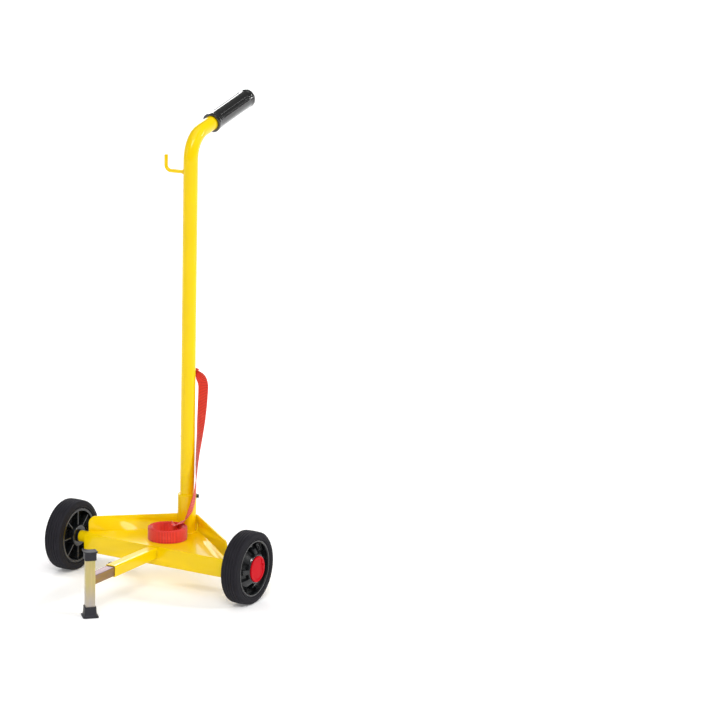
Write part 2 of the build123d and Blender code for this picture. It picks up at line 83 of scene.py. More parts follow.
class CartSizes(bpy.types.PropertyGroup):
    """Sizes of the finish work that the engineering model leaves open."""
    fold_radius: FloatProperty(name="Fold radius", description="Outside radius of the tray's folds",
                               default=2.4 * MM, min=0.5 * MM, max=2.5 * MM, unit="LENGTH")
    sheet_edge: FloatProperty(name="Sheet edge",
                              description="Rounding left on cut sheet edges by the paint",
                              default=0.35 * MM, min=0.1 * MM, max=1 * MM, unit="LENGTH")
    weld_width: FloatProperty(name="Weld width", description="Half width of a weld bead", default=2.0 * MM,
                              min=1 * MM, max=4 * MM, unit="LENGTH")
    ripple: FloatProperty(name="Weld ripple", description="Distance between ripples along a weld bead",
                          default=2.4 * MM, min=1 * MM, max=5 * MM, unit="LENGTH")
    tread_grooves: IntProperty(name="Tread grooves", description="Grooves round each tyre", default=5,
                               min=1, max=9)
    groove_depth: FloatProperty(name="Groove depth", description="Depth of the tread grooves",
                                default=1.5 * MM, min=0.5 * MM, max=4 * MM, unit="LENGTH")
    wheel_ribs: IntProperty(name="Wheel ribs", description="Thin ribs behind each rim's dish", default=8,
                            min=4, max=16)
    rib_thickness: FloatProperty(name="Rib thickness", description="Thickness of a rib behind the dish",
                                 default=3 * MM, min=1 * MM, max=6 * MM, unit="LENGTH")
    mast_radius: FloatProperty(name="Post radius", description="Outside radius of the post's tube",
                               default=16 * MM, min=10 * MM, max=20 * MM, unit="LENGTH")
    mast_wall: FloatProperty(name="Post wall", description="Wall of the post's tube", default=1.2 * MM,
                             min=1 * MM, max=4 * MM, unit="LENGTH")
    mast_bend: FloatProperty(name="Post bend", description="Radius of the post's bend, on its centre line",
                             default=65 * MM, min=40 * MM, max=120 * MM, unit="LENGTH")
    grip_slope: FloatProperty(name="Grip slope", description="Rise of the grip above the horizontal",
                              default=radians(16.2), min=0, max=radians(60), subtype="ANGLE")
    grip_length: FloatProperty(name="Grip length", description="Length of the grip", default=164 * MM,
                               min=100 * MM, max=200 * MM, unit="LENGTH")
    grip_radius: FloatProperty(name="Grip radius", description="Radius of the grip's collar",
                               default=22 * MM, min=18 * MM, max=26 * MM, unit="LENGTH")
    grip_panels: IntProperty(name="Grip panels", description="Long sunk panels round the grip", default=4,
                             min=2, max=8)
    panel_depth: FloatProperty(name="Panel depth", description="Depth of the grip's sunk panels",
                               default=1.2 * MM, min=0.2 * MM, max=2 * MM, unit="LENGTH")
    webbing_width: FloatProperty(name="Webbing width", description="Width of the strap's webbing",
                                 default=27.6 * MM, min=20 * MM, max=28 * MM, unit="LENGTH")
    webbing_thickness: FloatProperty(name="Webbing thickness",
                                     description="Thickness of the strap's webbing", default=1.6 * MM,
                                     min=1 * MM, max=2.5 * MM, unit="LENGTH")
    coil_turns: IntProperty(name="Coil turns", description="Turns in the strap's coil", default=5, min=3,
                            max=6)


def colour_property(name, description, value):
    return FloatVectorProperty(name=name, description=description, default=value, min=0, max=1,
                               subtype="COLOR")


class CartColours(bpy.types.PropertyGroup):
    """Colours of the cart's finishes, as scene-linear values."""
    paint: colour_property("Yellow paint", "Powder coat on the steel and the post", (0.93, 0.64, 0.0))
    rubber: colour_property("Tyre rubber", "Solid rubber of the tyres", (0.012, 0.0115, 0.0145))
    cap_rubber: colour_property("Leg cap rubber", "Moulded foot and top cap of the prop leg",
                                (0.024, 0.023, 0.028))
    plastic: colour_property("Black plastic", "Moulded rims", (0.006, 0.007, 0.008))
    grip: colour_property("Grip", "Glossy grip", (0.004, 0.004, 0.004))
    cap: colour_property("Hub cap", "Red hub caps", (0.52, 0.004, 0.011))
    webbing: colour_property("Webbing", "Red strap", (0.90, 0.040, 0.026))
    zinc: colour_property("Gold zinc", "Passivated plating on the prop leg", (0.63, 0.51, 0.22))
    rail_zinc: colour_property("Rail zinc", "Thicker, browner plating on the slide rail",
                               (0.42, 0.25, 0.07))
    zinc_tint: colour_property("Zinc tint", "Lilac bloom in the plating", (0.45, 0.41, 0.41))
    dark_steel: colour_property("Dark steel", "Blackened screw", (0.06, 0.06, 0.065))
    bright_steel: colour_property("Bright steel", "Turned and plated steel", (0.62, 0.62, 0.60))
    nylon: colour_property("Nylon", "Wheel bushes", (0.70, 0.68, 0.60))
    floor: colour_property("Floor", "Floor and backdrop", (0.93, 0.93, 0.93))


# ------------------------------------------------------------ material maths
class Value:
    """One socket in a finish, which can be used in Python expressions."""

    def __init__(self, finish, socket):
        self.finish, self.socket = finish, socket

    def maths(self, operation, *values):
        return self.finish.node("ShaderNodeMath", {"operation": operation}, dict(enumerate(values)))

    def __add__(self, other):
        return self.maths("ADD", self, other)

    def __sub__(self, other):
        return self.maths("SUBTRACT", self, other)

    def __mul__(self, other):
        return self.maths("MULTIPLY", self, other)

    def __radd__(self, other):
        return self.maths("ADD", other, self)

    def __rsub__(self, other):
        return self.maths("SUBTRACT", other, self)

    def __rmul__(self, other):
        return self.maths("MULTIPLY", other, self)

    def sine(self):
        return self.maths("SINE", self)

    def size(self):
        return self.maths("ABSOLUTE", self)

    def root(self):
        return self.maths("SQRT", self)

    def between(self, low, high):
        """0 below low, 1 above high, and a smooth step from one to the other."""
        return self.finish.node("ShaderNodeMapRange", {"interpolation_type": "SMOOTHSTEP"},
                                {"Value": self, "From Min": low, "From Max": high}, "Result")


class Finish:
    """A material with one Principled shader. Constants are set on the shader's own sockets."""

    def __init__(self, name, **constants):
        self.material = bpy.data.materials.new(name)
        self.material.use_nodes = True
        self.tree = self.material.node_tree
        self.shader = next(n for n in self.tree.nodes if n.type == "BSDF_PRINCIPLED")
        for key, value in constants.items():
            self.shader.inputs[key.replace("_", " ")].default_value = value
        self.place = self.node("ShaderNodeTexCoord", {}, {}, "Object")

    def node(self, kind, settings, values, output=0):
        made = self.tree.nodes.new(kind)
        for key, value in settings.items():
            setattr(made, key, value)
        for key, value in values.items():
            if isinstance(value, Value):
                self.tree.links.new(value.socket, made.inputs[key])
            else:
                made.inputs[key].default_value = value
        return Value(self, made.outputs[output])

    def stretch(self, x, y, z):
        """The place scaled along each axis, for a grain that runs one way."""
        return self.node("ShaderNodeVectorMath", {"operation": "MULTIPLY"}, {0: self.place, 1: (x, y, z)})

    def noise(self, scale, detail=3.0, rough=0.5, place=None):
        values = {"Vector": place or self.place, "Scale": scale, "Detail": detail, "Roughness": rough}
        return self.node("ShaderNodeTexNoise", {}, values, "Fac")

    def parts(self, place=None):
        """The three numbers of a place."""
        split = self.tree.nodes.new("ShaderNodeSeparateXYZ")
        self.tree.links.new((place or self.place).socket, split.inputs[0])
        return [Value(self, s) for s in split.outputs]

    def mix(self, amount, first, second):
        """Two colours mixed by an amount."""
        first, second = ((*c, 1.0) if not isinstance(c, Value) else c for c in (first, second))
        return self.node("ShaderNodeMix", {"data_type": "RGBA", "clamp_factor": True},
                         {0: amount, 6: first, 7: second}, 2)

    def feed(self, name, value):
        self.tree.links.new(value.socket, self.shader.inputs[name])

    def bump(self, height, depth):
        """Surface relief: height from 0 to 1 stands for this depth in metres."""
        relief = self.node("ShaderNodeBump", {}, {"Strength": 1.0, "Distance": depth, "Height": height})
        self.feed("Normal", relief)


def shade(colour, amount):
    return tuple(min(1.0, c * amount) for c in colour)


def powder_coat(name, c, colour):
    """Glossy powder coat: orange peel, a slow change of shade and a few rubbed places."""
    f = Finish(name, Specular_IOR_Level=0.06, Coat_Roughness=0.06, Coat_IOR=1.32)
    cloud = f.noise(11, 3)
    peel = f.noise(520, 2, 0.4)
    speck = f.noise(1900, 2)
    rub = f.noise(46, 6, 0.7).between(0.62, 0.80)
    scratch = f.noise(1, 5, 0.6, f.stretch(70, 900, 900)).between(0.70, 0.76) * f.noise(21, 2).between(0.5,
            0.7)
    base = f.mix(cloud, shade(colour, 0.95), shade(colour, 1.05))
    base = f.mix(rub * 0.25, base, tuple(0.9 * v + 0.06 for v in colour))
    base = f.mix(speck.between(0.66, 0.78) * 0.14, base, shade(colour, 0.75))
    f.feed("Base Color", base)
    f.feed("Roughness", 0.34 + 0.10 * cloud + 0.14 * rub + 0.10 * scratch)
    f.feed("Coat Weight", 0.95 - 0.5 * rub)
    f.bump(peel * 0.8 + speck * 0.12 - scratch * 0.25, 0.00008)
    return f


def tyre_rubber(name, c, colour):
    """Solid rubber, a little grey and dusty on the tread, with fine turned lines."""
    f = Finish(name, Specular_IOR_Level=0.12)
    x, y, z = f.parts()
    dy, dz = y - AXLE.y, z - AXLE.z
    reach = (dy * dy + dz * dz).root()
    tread = reach.between(0.0765, 0.0785)
    dust = f.noise(38, 5, 0.65)
    grain = f.noise(1500, 3, 0.6)
    lines = (x * 5200.0).sine() * 0.5 + 0.5
    base = f.mix(dust, shade(colour, 0.8), shade(colour, 1.35))
    base = f.mix(tread * dust * 0.8, base, shade(colour, 2.3))
    f.feed("Base Color", base)
    f.feed("Roughness", 0.56 + 0.16 * dust + 0.08 * tread)
    f.bump(grain * 0.6 + lines * tread * 0.5 + (reach * 3000.0).sine() * (1 - tread) * 0.12, 0.00016)
    return f


def moulded(name, c, colour, gloss, grain_depth=0.00003, specular=0.4, coat=0.35):
    """Moulded plastic with flow marks and faint handling scratches."""
    f = Finish(name, Specular_IOR_Level=specular, Coat_Roughness=0.08)
    flow = f.noise(26, 4, 0.6)
    grain = f.noise(1400, 2)
    scratch = f.noise(1, 4, 0.6, f.stretch(1100, 90, 240)).between(0.70, 0.77)
    f.feed("Base Color", f.mix(flow, shade(colour, 0.85), shade(colour, 1.2)))
    f.feed("Roughness", gloss + 0.10 * flow + 0.12 * scratch)
    f.feed("Coat Weight", coat * (1.2 - 0.5 * flow))
    f.bump(grain * 0.7 + flow * 0.6 - scratch * 0.3, grain_depth)
    return f


def cap_rubber(name, c, colour):
    """Dull moulded rubber with a fine spark grain and pale scuffs."""
    f = Finish(name, Specular_IOR_Level=0.25)
    cloud = f.noise(60, 4, 0.6)
    grain = f.noise(1700, 3, 0.7)
    scuff = f.noise(140, 5, 0.7).between(0.60, 0.78)
    base = f.mix(cloud, shade(colour, 0.8), shade(colour, 1.3))
    f.feed("Base Color", f.mix(scuff * 0.4, base, shade(colour, 2.4)))
    f.feed("Roughness", 0.46 + 0.18 * cloud)
    f.bump(grain, 0.00014)
    return f


def passivated(name, c, colour, rail=False):
    """Yellow zinc plate: streaks down the leg with olive and grey blooms. The slide rail is bronze, and
    its top face carries a painted lilac reflection."""
    f = Finish(name, Metallic=0.72, Specular_IOR_Level=0.5)
    z = f.parts()[2]
    streak = f.noise(1, 5, 0.62, f.stretch(330, 9, 260) if rail else f.stretch(330, 330, 9))
    bloom = f.noise(1, 3, 0.5, f.stretch(60, 18, 60) if rail else f.stretch(70, 70, 14))
    fine = f.noise(1, 3, 0.6, f.stretch(1500, 60, 1500) if rail else f.stretch(1500, 1500, 60))
    low = 1 - z.between(0.025, 0.085)
    tint = tuple(c.zinc_tint)
    base = f.mix(streak, shade(colour, 0.72), shade(colour, 1.12))
    olive = (colour[0] * 0.74, colour[1] * 0.88, colour[2] * 0.62)
    base = f.mix((1 - bloom).between(0.45, 0.70) * 0.5, base, olive)
    if rail:
        # the rail's top face is painted lilac grey as a painted reflection; the lilac bloom patches on its
        # sides are the plating's own colour
        painted_reflection_top = z.between(RAIL_TOP - 1.2 * MM, RAIL_TOP - 0.6 * MM)
        base = f.mix(bloom.between(0.40, 0.62) * 0.35 * (1 - painted_reflection_top) + painted_reflection_top * 0.9, base, (0.25, 0.18, 0.22))
    else:
        base = f.mix(bloom.between(0.52, 0.70) * 0.25 + low * 0.75, base, tint)
    f.feed("Base Color", base)
    f.feed("Roughness", 0.34 + 0.16 * streak + 0.06 * fine)
    f.bump(fine * 0.6 + streak * 0.4, 0.00005)
    return f


def worked_steel(name, c, colour, rough=0.3):
    """Turned, cold-formed or blackened steel."""
    f = Finish(name, Metallic=0.95)
    cloud = f.noise(180, 4, 0.6)
    fine = f.noise(2200, 2)
    f.feed("Base Color", f.mix(cloud, shade(colour, 0.75), shade(colour, 1.15)))
    f.feed("Roughness", rough + 0.2 * cloud)
    f.bump(fine * 0.5 + cloud * 0.5, 0.00004)
    return f


def woven_webbing(name, c, colour):
    """Webbing: fine ribs across, a slight twill in each rib, and denser edges. The ribs' colour is painted
    shade in the grooves and painted highlight on the crests.
    The weave attribute holds metres across from the middle and metres along."""
    f = Finish(name, Specular_IOR_Level=0.4, Sheen_Weight=0.35, Sheen_Roughness=0.45)
    weave = f.node("ShaderNodeAttribute", {"attribute_name": "weave"}, {}, "Vector")
    across, along = f.parts(weave)[:2]
    rib = (along * (FULL / 0.0034)).sine() * 0.5 + 0.5
    warp = (across * (FULL / 0.0012) + rib * 1.6).sine() * 0.5 + 0.5
    edge = across.size().between(0.0112, 0.0128)
    seam = 1 - (across.size() - 0.0106).size().between(0.0003, 0.0008)
    fuzz = f.noise(900, 4, 0.7)
    wear = f.noise(30, 4, 0.6)
    height = rib * 0.65 + warp * 0.25 * (0.4 + rib) + fuzz * 0.2 - seam * 0.5
    # base colour follows the ribs: painted shade in the grooves and painted highlight on the crests
    base = f.mix(rib, shade(colour, 0.52), shade(colour, 1.15))
    base = f.mix(warp * 0.3, base, shade(colour, 0.72))
    base = f.mix(edge * 0.35 + seam * 0.3, base, shade(colour, 0.7))
    base = f.mix(wear.between(0.55, 0.8) * 0.30, base, tuple(min(1, v + 0.10) for v in colour))
    f.feed("Base Color", base)
    f.feed("Roughness", 0.62 + 0.2 * fuzz)
    f.bump(height, 0.00028)
    return f


FINISHES = {
    "yellow_steel": (powder_coat, "paint", {}),
    "yellow_tube": (powder_coat, "paint", {}),
    "tyre": (tyre_rubber, "rubber", {}),
    "black_plastic": (moulded, "plastic", {"gloss": 0.22}),
    "black_grip": (moulded, "grip", {"gloss": 0.14, "grain_depth": 0.00001, "specular": 0.6, "coat": 0.8}),
    "red_plastic": (moulded, "cap", {"gloss": 0.34, "specular": 0.05, "coat": 0.0}),
    "black_rubber": (cap_rubber, "cap_rubber", {}),
    "yellow_zinc": (passivated, "zinc", {}),
    "bronze_zinc": (passivated, "rail_zinc", {"rail": True}),
    "dark_steel": (worked_steel, "dark_steel", {"rough": 0.34}),
    "bright_steel": (worked_steel, "bright_steel", {"rough": 0.24}),
    "bush_plastic": (moulded, "nylon", {"gloss": 0.45, "grain_depth": 0.00005}),
    "red_webbing": (woven_webbing, "webbing", {}),
}


def finish_of(slot):
    """The material of a slot, made the first time it is asked for."""
    name = slot + "_finish"
    if name not in bpy.data.materials:
        make, colour, more = FINISHES[slot]
        colours = bpy.context.scene.cart_colours
        make(name, colours, tuple(getattr(colours, colour)), **more)
    return bpy.data.materials[name]


# ------------------------------------------------------------ shapes
def eased(low, high, value):
    t = min(1.0, max(0.0, (value - low) / (high - low)))
    return t * t * (3 - 2 * t)


def rounded(points, radius, steps=3, closed=True):
    """A section's corner points with each corner eased into a small curve. The radius is one number or
    one for each corner."""
    out, count = [], len(points)
    for i, p in enumerate(points):
        r = radius[i] if hasattr(radius, "__len__") else radius
        if not closed and i in (0, count - 1):
            out.append(tuple(p))
            continue
        a, b = points[i - 1], points[(i + 1) % count]
        ua, ub = (a[0] - p[0], a[1] - p[1]), (b[0] - p[0], b[1] - p[1])
        la, lb = hypot(*ua) or 1e-9, hypot(*ub) or 1e-9
        turn = acos(max(-1, min(1, (ua[0] * ub[0] + ua[1] * ub[1]) / la / lb)))
        cut = min(r / max(1e-6, tan(turn / 2)), 0.45 * la, 0.45 * lb)
        for k in range(steps + 1):
            t = k / steps
            wa, wb = cut * (1 - t) ** 2 / la, cut * t ** 2 / lb
            out.append((p[0] + ua[0] * wa + ub[0] * wb, p[1] + ua[1] * wa + ub[1] * wb))
    return out


def square_loop(half, corner, steps=4, sides=4):
    """Points round a rounded square, from its right side, turning left."""
    out = []
    for q in range(4):
        a0 = q * pi / 2
        flat = half - corner
        for k in range(sides):
            s = -flat + 2 * flat * k / sides
            out.append((half * cos(a0) - s * sin(a0), half * sin(a0) + s * cos(a0)))
        cx, cy = flat * (cos(a0) - sin(a0)), flat * (sin(a0) + cos(a0))
        out += [(cx + corner * cos(a0 + pi / 2 * k / steps), cy + corner * sin(a0 + pi / 2 * k / steps))
                for k in range(steps)]
    return out


def hex_radius(angle, flats):
    return flats / 2 / cos((angle + pi / 6) % (pi / 3) - pi / 6)


def resample(points, step, closed=False):
    """Points evenly spaced along a line through the given ones."""
    points = [Vector(p) for p in points]
    if closed:
        points.append(points[0].copy())
    lengths = [0.0]
    for a, b in zip(points, points[1:]):
        lengths.append(lengths[-1] + (b - a).length)
    count = max(2, ceil(lengths[-1] / step))
    out, j = [], 0
    for i in range(count if closed else count + 1):
        s = lengths[-1] * i / count
        while j < len(points) - 2 and lengths[j + 1] < s:
            j += 1
        span = lengths[j + 1] - lengths[j] or 1e-9
        out.append(points[j].lerp(points[j + 1], (s - lengths[j]) / span))
    return out


def ring_path(centre, axis, radius, count=96, start=0.0, sweep=FULL):
    side = axis.orthogonal().normalized() if abs(axis.z) < 0.9 else X
    other = axis.cross(side)
    whole = abs(sweep - FULL) < 1e-6
    return [centre + (side * cos(start + sweep * k / count) + other * sin(start + sweep * k / count))
            * radius for k in range(count if whole else count + 1)]


class Shape:
    """Vertices and faces of one piece, gathered from turned, swept and stacked forms."""

    def __init__(self):
        self.points, self.faces, self.weave = [], [], []

    def rings(self, rows, closed=False, caps=True):
        """Joins loops of points into a skin. Closed joins the last loop to the first, and caps close the
        ends."""
        first, count = len(self.points), len(rows[0])
        for row in rows:
            self.points += row
        spans = len(rows) if closed else len(rows) - 1
        for i in range(spans):
            a, b = first + i * count, first + (i + 1) % len(rows) * count
            for k in range(count):
                m = (k + 1) % count
                self.faces.append((a + k, a + m, b + m, b + k))
        if caps and not closed:
            self.faces.append(tuple(range(first, first + count)))
            last = first + (len(rows) - 1) * count
            self.faces.append(tuple(range(last, last + count)))

    def turned(self, profile, centre, axis=X, up=Z, angles=96, closed=True):
        """Turns a section of (along, radius) points about an axis. The section may be a function of the
        angle."""
        other = axis.cross(up)
        angles = [FULL * k / angles for k in range(angles)] if isinstance(angles, int) else angles
        columns = []
        for a in angles:
            spoke = up * cos(a) + other * sin(a)
            section = profile(a) if callable(profile) else profile
            columns.append([centre + axis * s + spoke * r for s, r in section])
        first, count = len(self.points), len(columns[0])
        for column in columns:
            self.points += column
        for i in range(len(columns)):
            a, b = first + i * count, first + (i + 1) % len(columns) * count
            for k in range(count if closed else count - 1):
                m = (k + 1) % count
                self.faces.append((a + k, a + m, b + m, b + k))

    def swept(self, path, normal, section, closed=False, caps=True):
        """Sweeps a loop of (across, out) points along a flat path. Across lies along the normal. The
        section may be a function of the step."""
        rows, count = [], len(path)
        for i, p in enumerate(path):
            before = path[i - 1] if closed or i else p
            after = path[(i + 1) % count] if closed or i < count - 1 else p
            side = (after - before).normalized().cross(normal).normalized()
            loop = section(i) if callable(section) else section
            rows.append([p + normal * u + side * v for u, v in loop])
        self.rings(rows, closed, caps)

    def bead(self, path, normal, width, ripple, closed=False):
        """A weld bead with ripples and tapered ends."""
        path = resample(path, 0.5 * MM, closed)
        count = len(path)

        def loop(i):
            swell = 1 + 0.11 * sin(FULL * i * 0.5 * MM / ripple) + 0.05 * sin(1.7 * i)
            end = 1.0 if closed else sqrt(min(1.0, min(i + 0.6, count - i - 0.4) / 5))
            return [(width * swell * end * cos(a), width * swell * end * sin(a))
                    for a in (FULL * k / 12 for k in range(12))]

        self.swept(path, normal, loop, closed)

    def bar(self, centre, along, across, up, half, edge):
        """A bar with rounded edges: half sizes along, across and up."""
        rows = []
        for s, inset in ((-1, edge), (-1 + edge / half[0], 0), (1 - edge / half[0], 0), (1, edge)):
            corners = [(a * (half[1] - inset), b * (half[2] - inset))
                       for a, b in ((-1, -1), (1, -1), (1, 1), (-1, 1))]
            loop = rounded(corners, edge * 0.7, 2)
            rows.append([centre + along * s * half[0] + across * a + up * b for a, b in loop])
        self.rings(rows)

    def made(self, name, body, slot, replaces=(), sharp=38):
        """The finished piece, with its finish, on its body."""
        mesh = bpy.data.meshes.new(name)
        mesh.from_pydata([tuple(p) for p in self.points], [], self.faces)
        if self.weave:
            stored = mesh.attributes.new("weave", "FLOAT_VECTOR", "POINT")
            stored.data.foreach_set("vector", [n for w in self.weave for n in (*w, 0.0)])
        work = bmesh.new()
        work.from_mesh(mesh)
        bmesh.ops.remove_doubles(work, verts=work.verts, dist=1e-6)
        bmesh.ops.dissolve_degenerate(work, edges=work.edges, dist=1e-7)
        return settled(work, mesh, name, body, slot, replaces, sharp)


def settled(work, mesh, name, body, slot, replaces, sharp, finish=None):
    bmesh.ops.recalc_face_normals(work, faces=work.faces)
    work.to_mesh(mesh)
    work.free()
    mesh.shade_smooth()
    mesh.set_sharp_from_angle(angle=radians(sharp))
    mesh.materials.append(finish_of(finish or slot))
    piece = bpy.data.objects.new(name, mesh)
    bpy.context.scene.collection.objects.link(piece)
    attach(piece, body)
    if replaces:
        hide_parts(*replaces)
    return piece


def softened(node, name, body, slot, cuts, finish=None):
    """A copy of a CAD node's skin with its edges rounded. Each cut is (test of an edge's middle and
    direction, width, segments)."""
    mesh = bpy.data.meshes.new(name)
    work = bmesh.new()
    work.from_mesh(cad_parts[node].data)
    bmesh.ops.remove_doubles(work, verts=work.verts, dist=3e-6)
    bmesh.ops.join_triangles(work, faces=work.faces, angle_face_threshold=radians(1),
                             angle_shape_threshold=radians(60))
    for test, width, segments in cuts:
        chosen = []
        for e in work.edges:
            if len(e.link_faces) != 2 or not e.is_convex or e.calc_length() <= 0.3 * MM:
                continue
            a, b = (v.co for v in e.verts)
            if e.calc_face_angle(0.0) > radians(28) and test((a + b) / 2, b - a):
                chosen.append(e)
        bmesh.ops.bevel(work, geom=chosen, offset=width, offset_type="OFFSET", segments=segments,
                        profile=0.5, affect="EDGES", clamp_overlap=True, loop_slide=True)
        bmesh.ops.remove_doubles(work, verts=work.verts, dist=2e-6)
    bmesh.ops.triangulate(work, faces=[f for f in work.faces if len(f.verts) > 4])
    return settled(work, mesh, name, body, slot, (node,), 38, finish)


def every_edge(mid, run):
    return True


def section(*pairs):
    """Section points given in millimetres."""
    return [(a * MM, r * MM) for a, r in pairs]


# ------------------------------------------------------------ the cart's pieces
def make_tray(s):
    """The folded tray, its welds and the plug weld on its top."""
    fold_z = (PLATE_TOP, PLATE_TOP - SHEET)
    close = 0.1 * MM

    def front_fold(mid, run):
        along_x = abs(run.x) > 0.9 * run.length
        return abs(mid.z - fold_z[0]) < close and abs(mid.y - PLATE_FRONT) < close and along_x

    def wall_fold(mid, run):
        level = abs(run.z) < 0.1 * run.length
        return abs(mid.z - fold_z[1]) < close and mid.y > PLATE_FRONT + 12 * MM and level

    softened("base_plate", "base_tray", "frame", "yellow_steel", [
        (front_fold, s.fold_radius, 5), (wall_fold, s.fold_radius - 0.2 * MM, 4),
                (every_edge, s.sheet_edge, 2)])

    welds = Shape()
    front = PLATE_FRONT
    tube = (TUBE_LOW.x, TUBE_HIGH.x)
    for x in tube:
        welds.bead([Vector((x, front - 0.2 * MM, z)) for z in (TUBE_HIGH.z - 3 * MM, TUBE_LOW.z + 1 * MM)],
                   X, s.weld_width * 0.75, s.ripple)
    welds.bead([Vector((x, front - 0.2 * MM, TUBE_LOW.z - 0.3 * MM)) for x in tube], Z, s.weld_width * 0.8,
               s.ripple)
    for side in (-1, 1):
        for x0 in (30, 78, 126):
            for dy in (-8.4, 8.4):
                at = Vector((side * x0 * MM, AXLE.y + dy * MM, PLATE_TOP - 4.0 * MM))
                welds.bead([at, at + X * side * 26 * MM], Y, s.weld_width, s.ripple)
    welds.bead(ring_path(Vector((POST.x, POST.y, PLATE_TOP)), Z, SOCKET_HIGH.x - POST.x + 0.3 * MM), Z,
               s.weld_width, s.ripple, True)
    for side in (-1, 1):
        corner = Vector((side * 15 * MM, PLATE_HIGH.y - 0.5 * MM, 0))
        welds.bead([corner + Z * (PLATE_TOP + z * MM) for z in (19, 32)], X, s.weld_width * 0.6, s.ripple)
    end = TUBE_HIGH.y
    welds.bead([Vector((x, end - 0.3 * MM, TUBE_LOW.z + 6 * MM)) for x in tube], Z, s.weld_width, s.ripple)
    welds.made("tray_welds", "frame", "yellow_steel")

    plug = Shape()
    at = Vector((-139.5 * MM, AXLE.y + 4.5 * MM, PLATE_TOP - 0.1 * MM))
    plug.turned(section((0, 6.6), (0.15, 5.8), (0.45, 4.8), (0.75, 3.4), (0.92, 1.8), (0.98, 0)), at, Z, X,
                40, False)
    plug.made("plug_weld", "frame", "yellow_steel")


def make_axle(s):
    """The tube under the tray, the rod in it, and the washers and clips on the rod."""
    tube = Shape()
    tube.turned(rounded(section((-205, 8.6), (205, 8.6), (205, 13), (-205, 13)), 0.8 * MM), AXLE, X, Z, 72)
    tube.made("axle_casing", "frame", "yellow_steel", ("axle_tube",))
    rod = Shape()
    rod.turned(rounded(section((-250, 0), (-250, 8), (250, 8), (250, 0)), 1.0 * MM, 3, False), AXLE, X, Z,
               56, False)
    rod.made("axle_bar", "frame", "bright_steel", ("axle_rod",))
    washers = Shape()
    flat_ring = rounded(section((-1.5, 8.1), (1.5, 8.1), (1.5, 13.9), (-1.5, 13.9)), 0.4 * MM)
    for side in (-1, 1):
        washers.turned(flat_ring, AXLE + X * side * 207.3 * MM, X, Z, 56)
    washers.made("wheel_washers", "frame", "black_plastic", ("thrust_washers",))
    clips = Shape()
    dished_ring = section((0, 8), (1.2, 8), (1.2, 11), (3.2, 13), (2.2, 14), (0, 11.6))
    for side in (-1, 1):
        facing = rounded([(side * a, r) for a, r in dished_ring], 0.3 * MM)
        clips.turned(facing, AXLE + X * side * 242.6 * MM, X, Z, 48)
    clips.made("axle_clips", "frame", "bright_steel", ("axle_retainers",))


def tyre_section(s):
    """Tyre section: half width 21, grooves, round shoulders and two steps down each wall."""
    side = [(21, 64.6), (21, 65.8), (20.1, 66.7), (20.1, 67.8), (21, 68.7), (21, 70.6), (20.4, 72),
            (20.4, 74.6), (19.5, 77.0), (17.2, 78.9)]
    points = [(-a, r) for a, r in [(17.6, 62), (19.6, 62.9)] + side]
    count = s.tread_grooves
    depth = s.groove_depth / MM
    for k in range(count):
        g = -12.8 + 25.6 * (k / (count - 1) if count > 1 else 0.5)
        points += [(g - 1.1, 80 - 0.03 * abs(g)), (g - 0.7, 80 - depth), (g + 0.7, 80 - depth),
                   (g + 1.1, 80 - 0.03 * abs(g))]
    points += list(reversed(side)) + [(19.6, 62.9), (17.6, 62)]
    return rounded(section(*points), 0.6 * MM, 2)


NARROW_LOBE, BROAD_LOBE, LOBE_EDGE = radians(9.5), radians(16), radians(1.5)


def lobe_height(angle):
    """(how far into a lobe this angle is, whether the lobe is a narrow stepped one)."""
    turn = angle % (pi / 2)
    broad = abs(turn - pi / 4)
    narrow = min(turn, pi / 2 - turn)
    if broad < narrow + (BROAD_LOBE - NARROW_LOBE):
        return 1 - eased(BROAD_LOBE - LOBE_EDGE, BROAD_LOBE, broad), False
    return 1 - eased(NARROW_LOBE - LOBE_EDGE, NARROW_LOBE, narrow), True


def lobe_angles():
    """Angles for the rim's columns, close together at the edges of the lobes."""
    angles = [radians(2.5) * k for k in range(144)]
    for k in range(4):
        for middle_at, half in ((pi / 4, BROAD_LOBE), (0, NARROW_LOBE)):
            for side in (-1, 1):
                angles += [(k * pi / 2 + middle_at + side * (half - LOBE_EDGE * t)) % FULL
                           for t in (-0.15, 0.0, 0.25, 0.5, 0.75, 1.0, 1.15)]
    angles.sort()
    return [a for a, b in zip(angles, angles[1:] + [FULL]) if b - a > radians(0.05)]


def rim_section(side):
    """The rim's section at an angle: a dish with raised lobes outside, flat inside. Side is +1 where
    outside is +X."""
    inside = [(12, 11), (-21, 11), (-21, 23), (-20, 24), (-3, 24), (-3, 53.5), (-9, 57.5), (-19.5, 57.5),
              (-19.5, 61.4), (-18, 61.95), (18, 61.95), (19.5, 61.4)]
    pocket = [(19.5, 58.6), (17.8, 57.4), (4, 56.2), (0.5, 54), (0.3, 50), (5, 43), (14.5, 33), (19, 32.2),
              (21.5, 31.8), (23.8, 31.2), (24.5, 30.2)]
    broad = [(19.5, 58.6), (17.8, 57.4), (10, 56.6), (5.6, 54.2), (5.4, 51), (9.5, 46.5), (20.3, 35),
             (22, 33.6), (22.9, 32.4), (24.0, 31.2), (24.5, 30.2)]
    narrow = [(19.5, 58.6), (17.8, 57.4), (8, 56.4), (5.0, 53.6), (7.5, 48), (8.0, 46), (16.5, 43.4),
              (20.6, 36.4), (22.4, 33.2), (24.0, 31.2), (24.5, 30.2)]
    bore = [(24.5, 28.6), (24, 28.05), (14, 28.05), (12, 22)]

    def at(angle):
        height, stepped = lobe_height(angle)
        lobe = narrow if stepped else broad
        face = [(p[0] + (q[0] - p[0]) * height, p[1] + (q[1] - p[1]) * height)
                for p, q in zip(pocket, lobe)]
        points = [(side * a, r) for a, r in section(*(inside + face + bore))]
        return rounded(points, 0.7 * MM, 2)

    return at


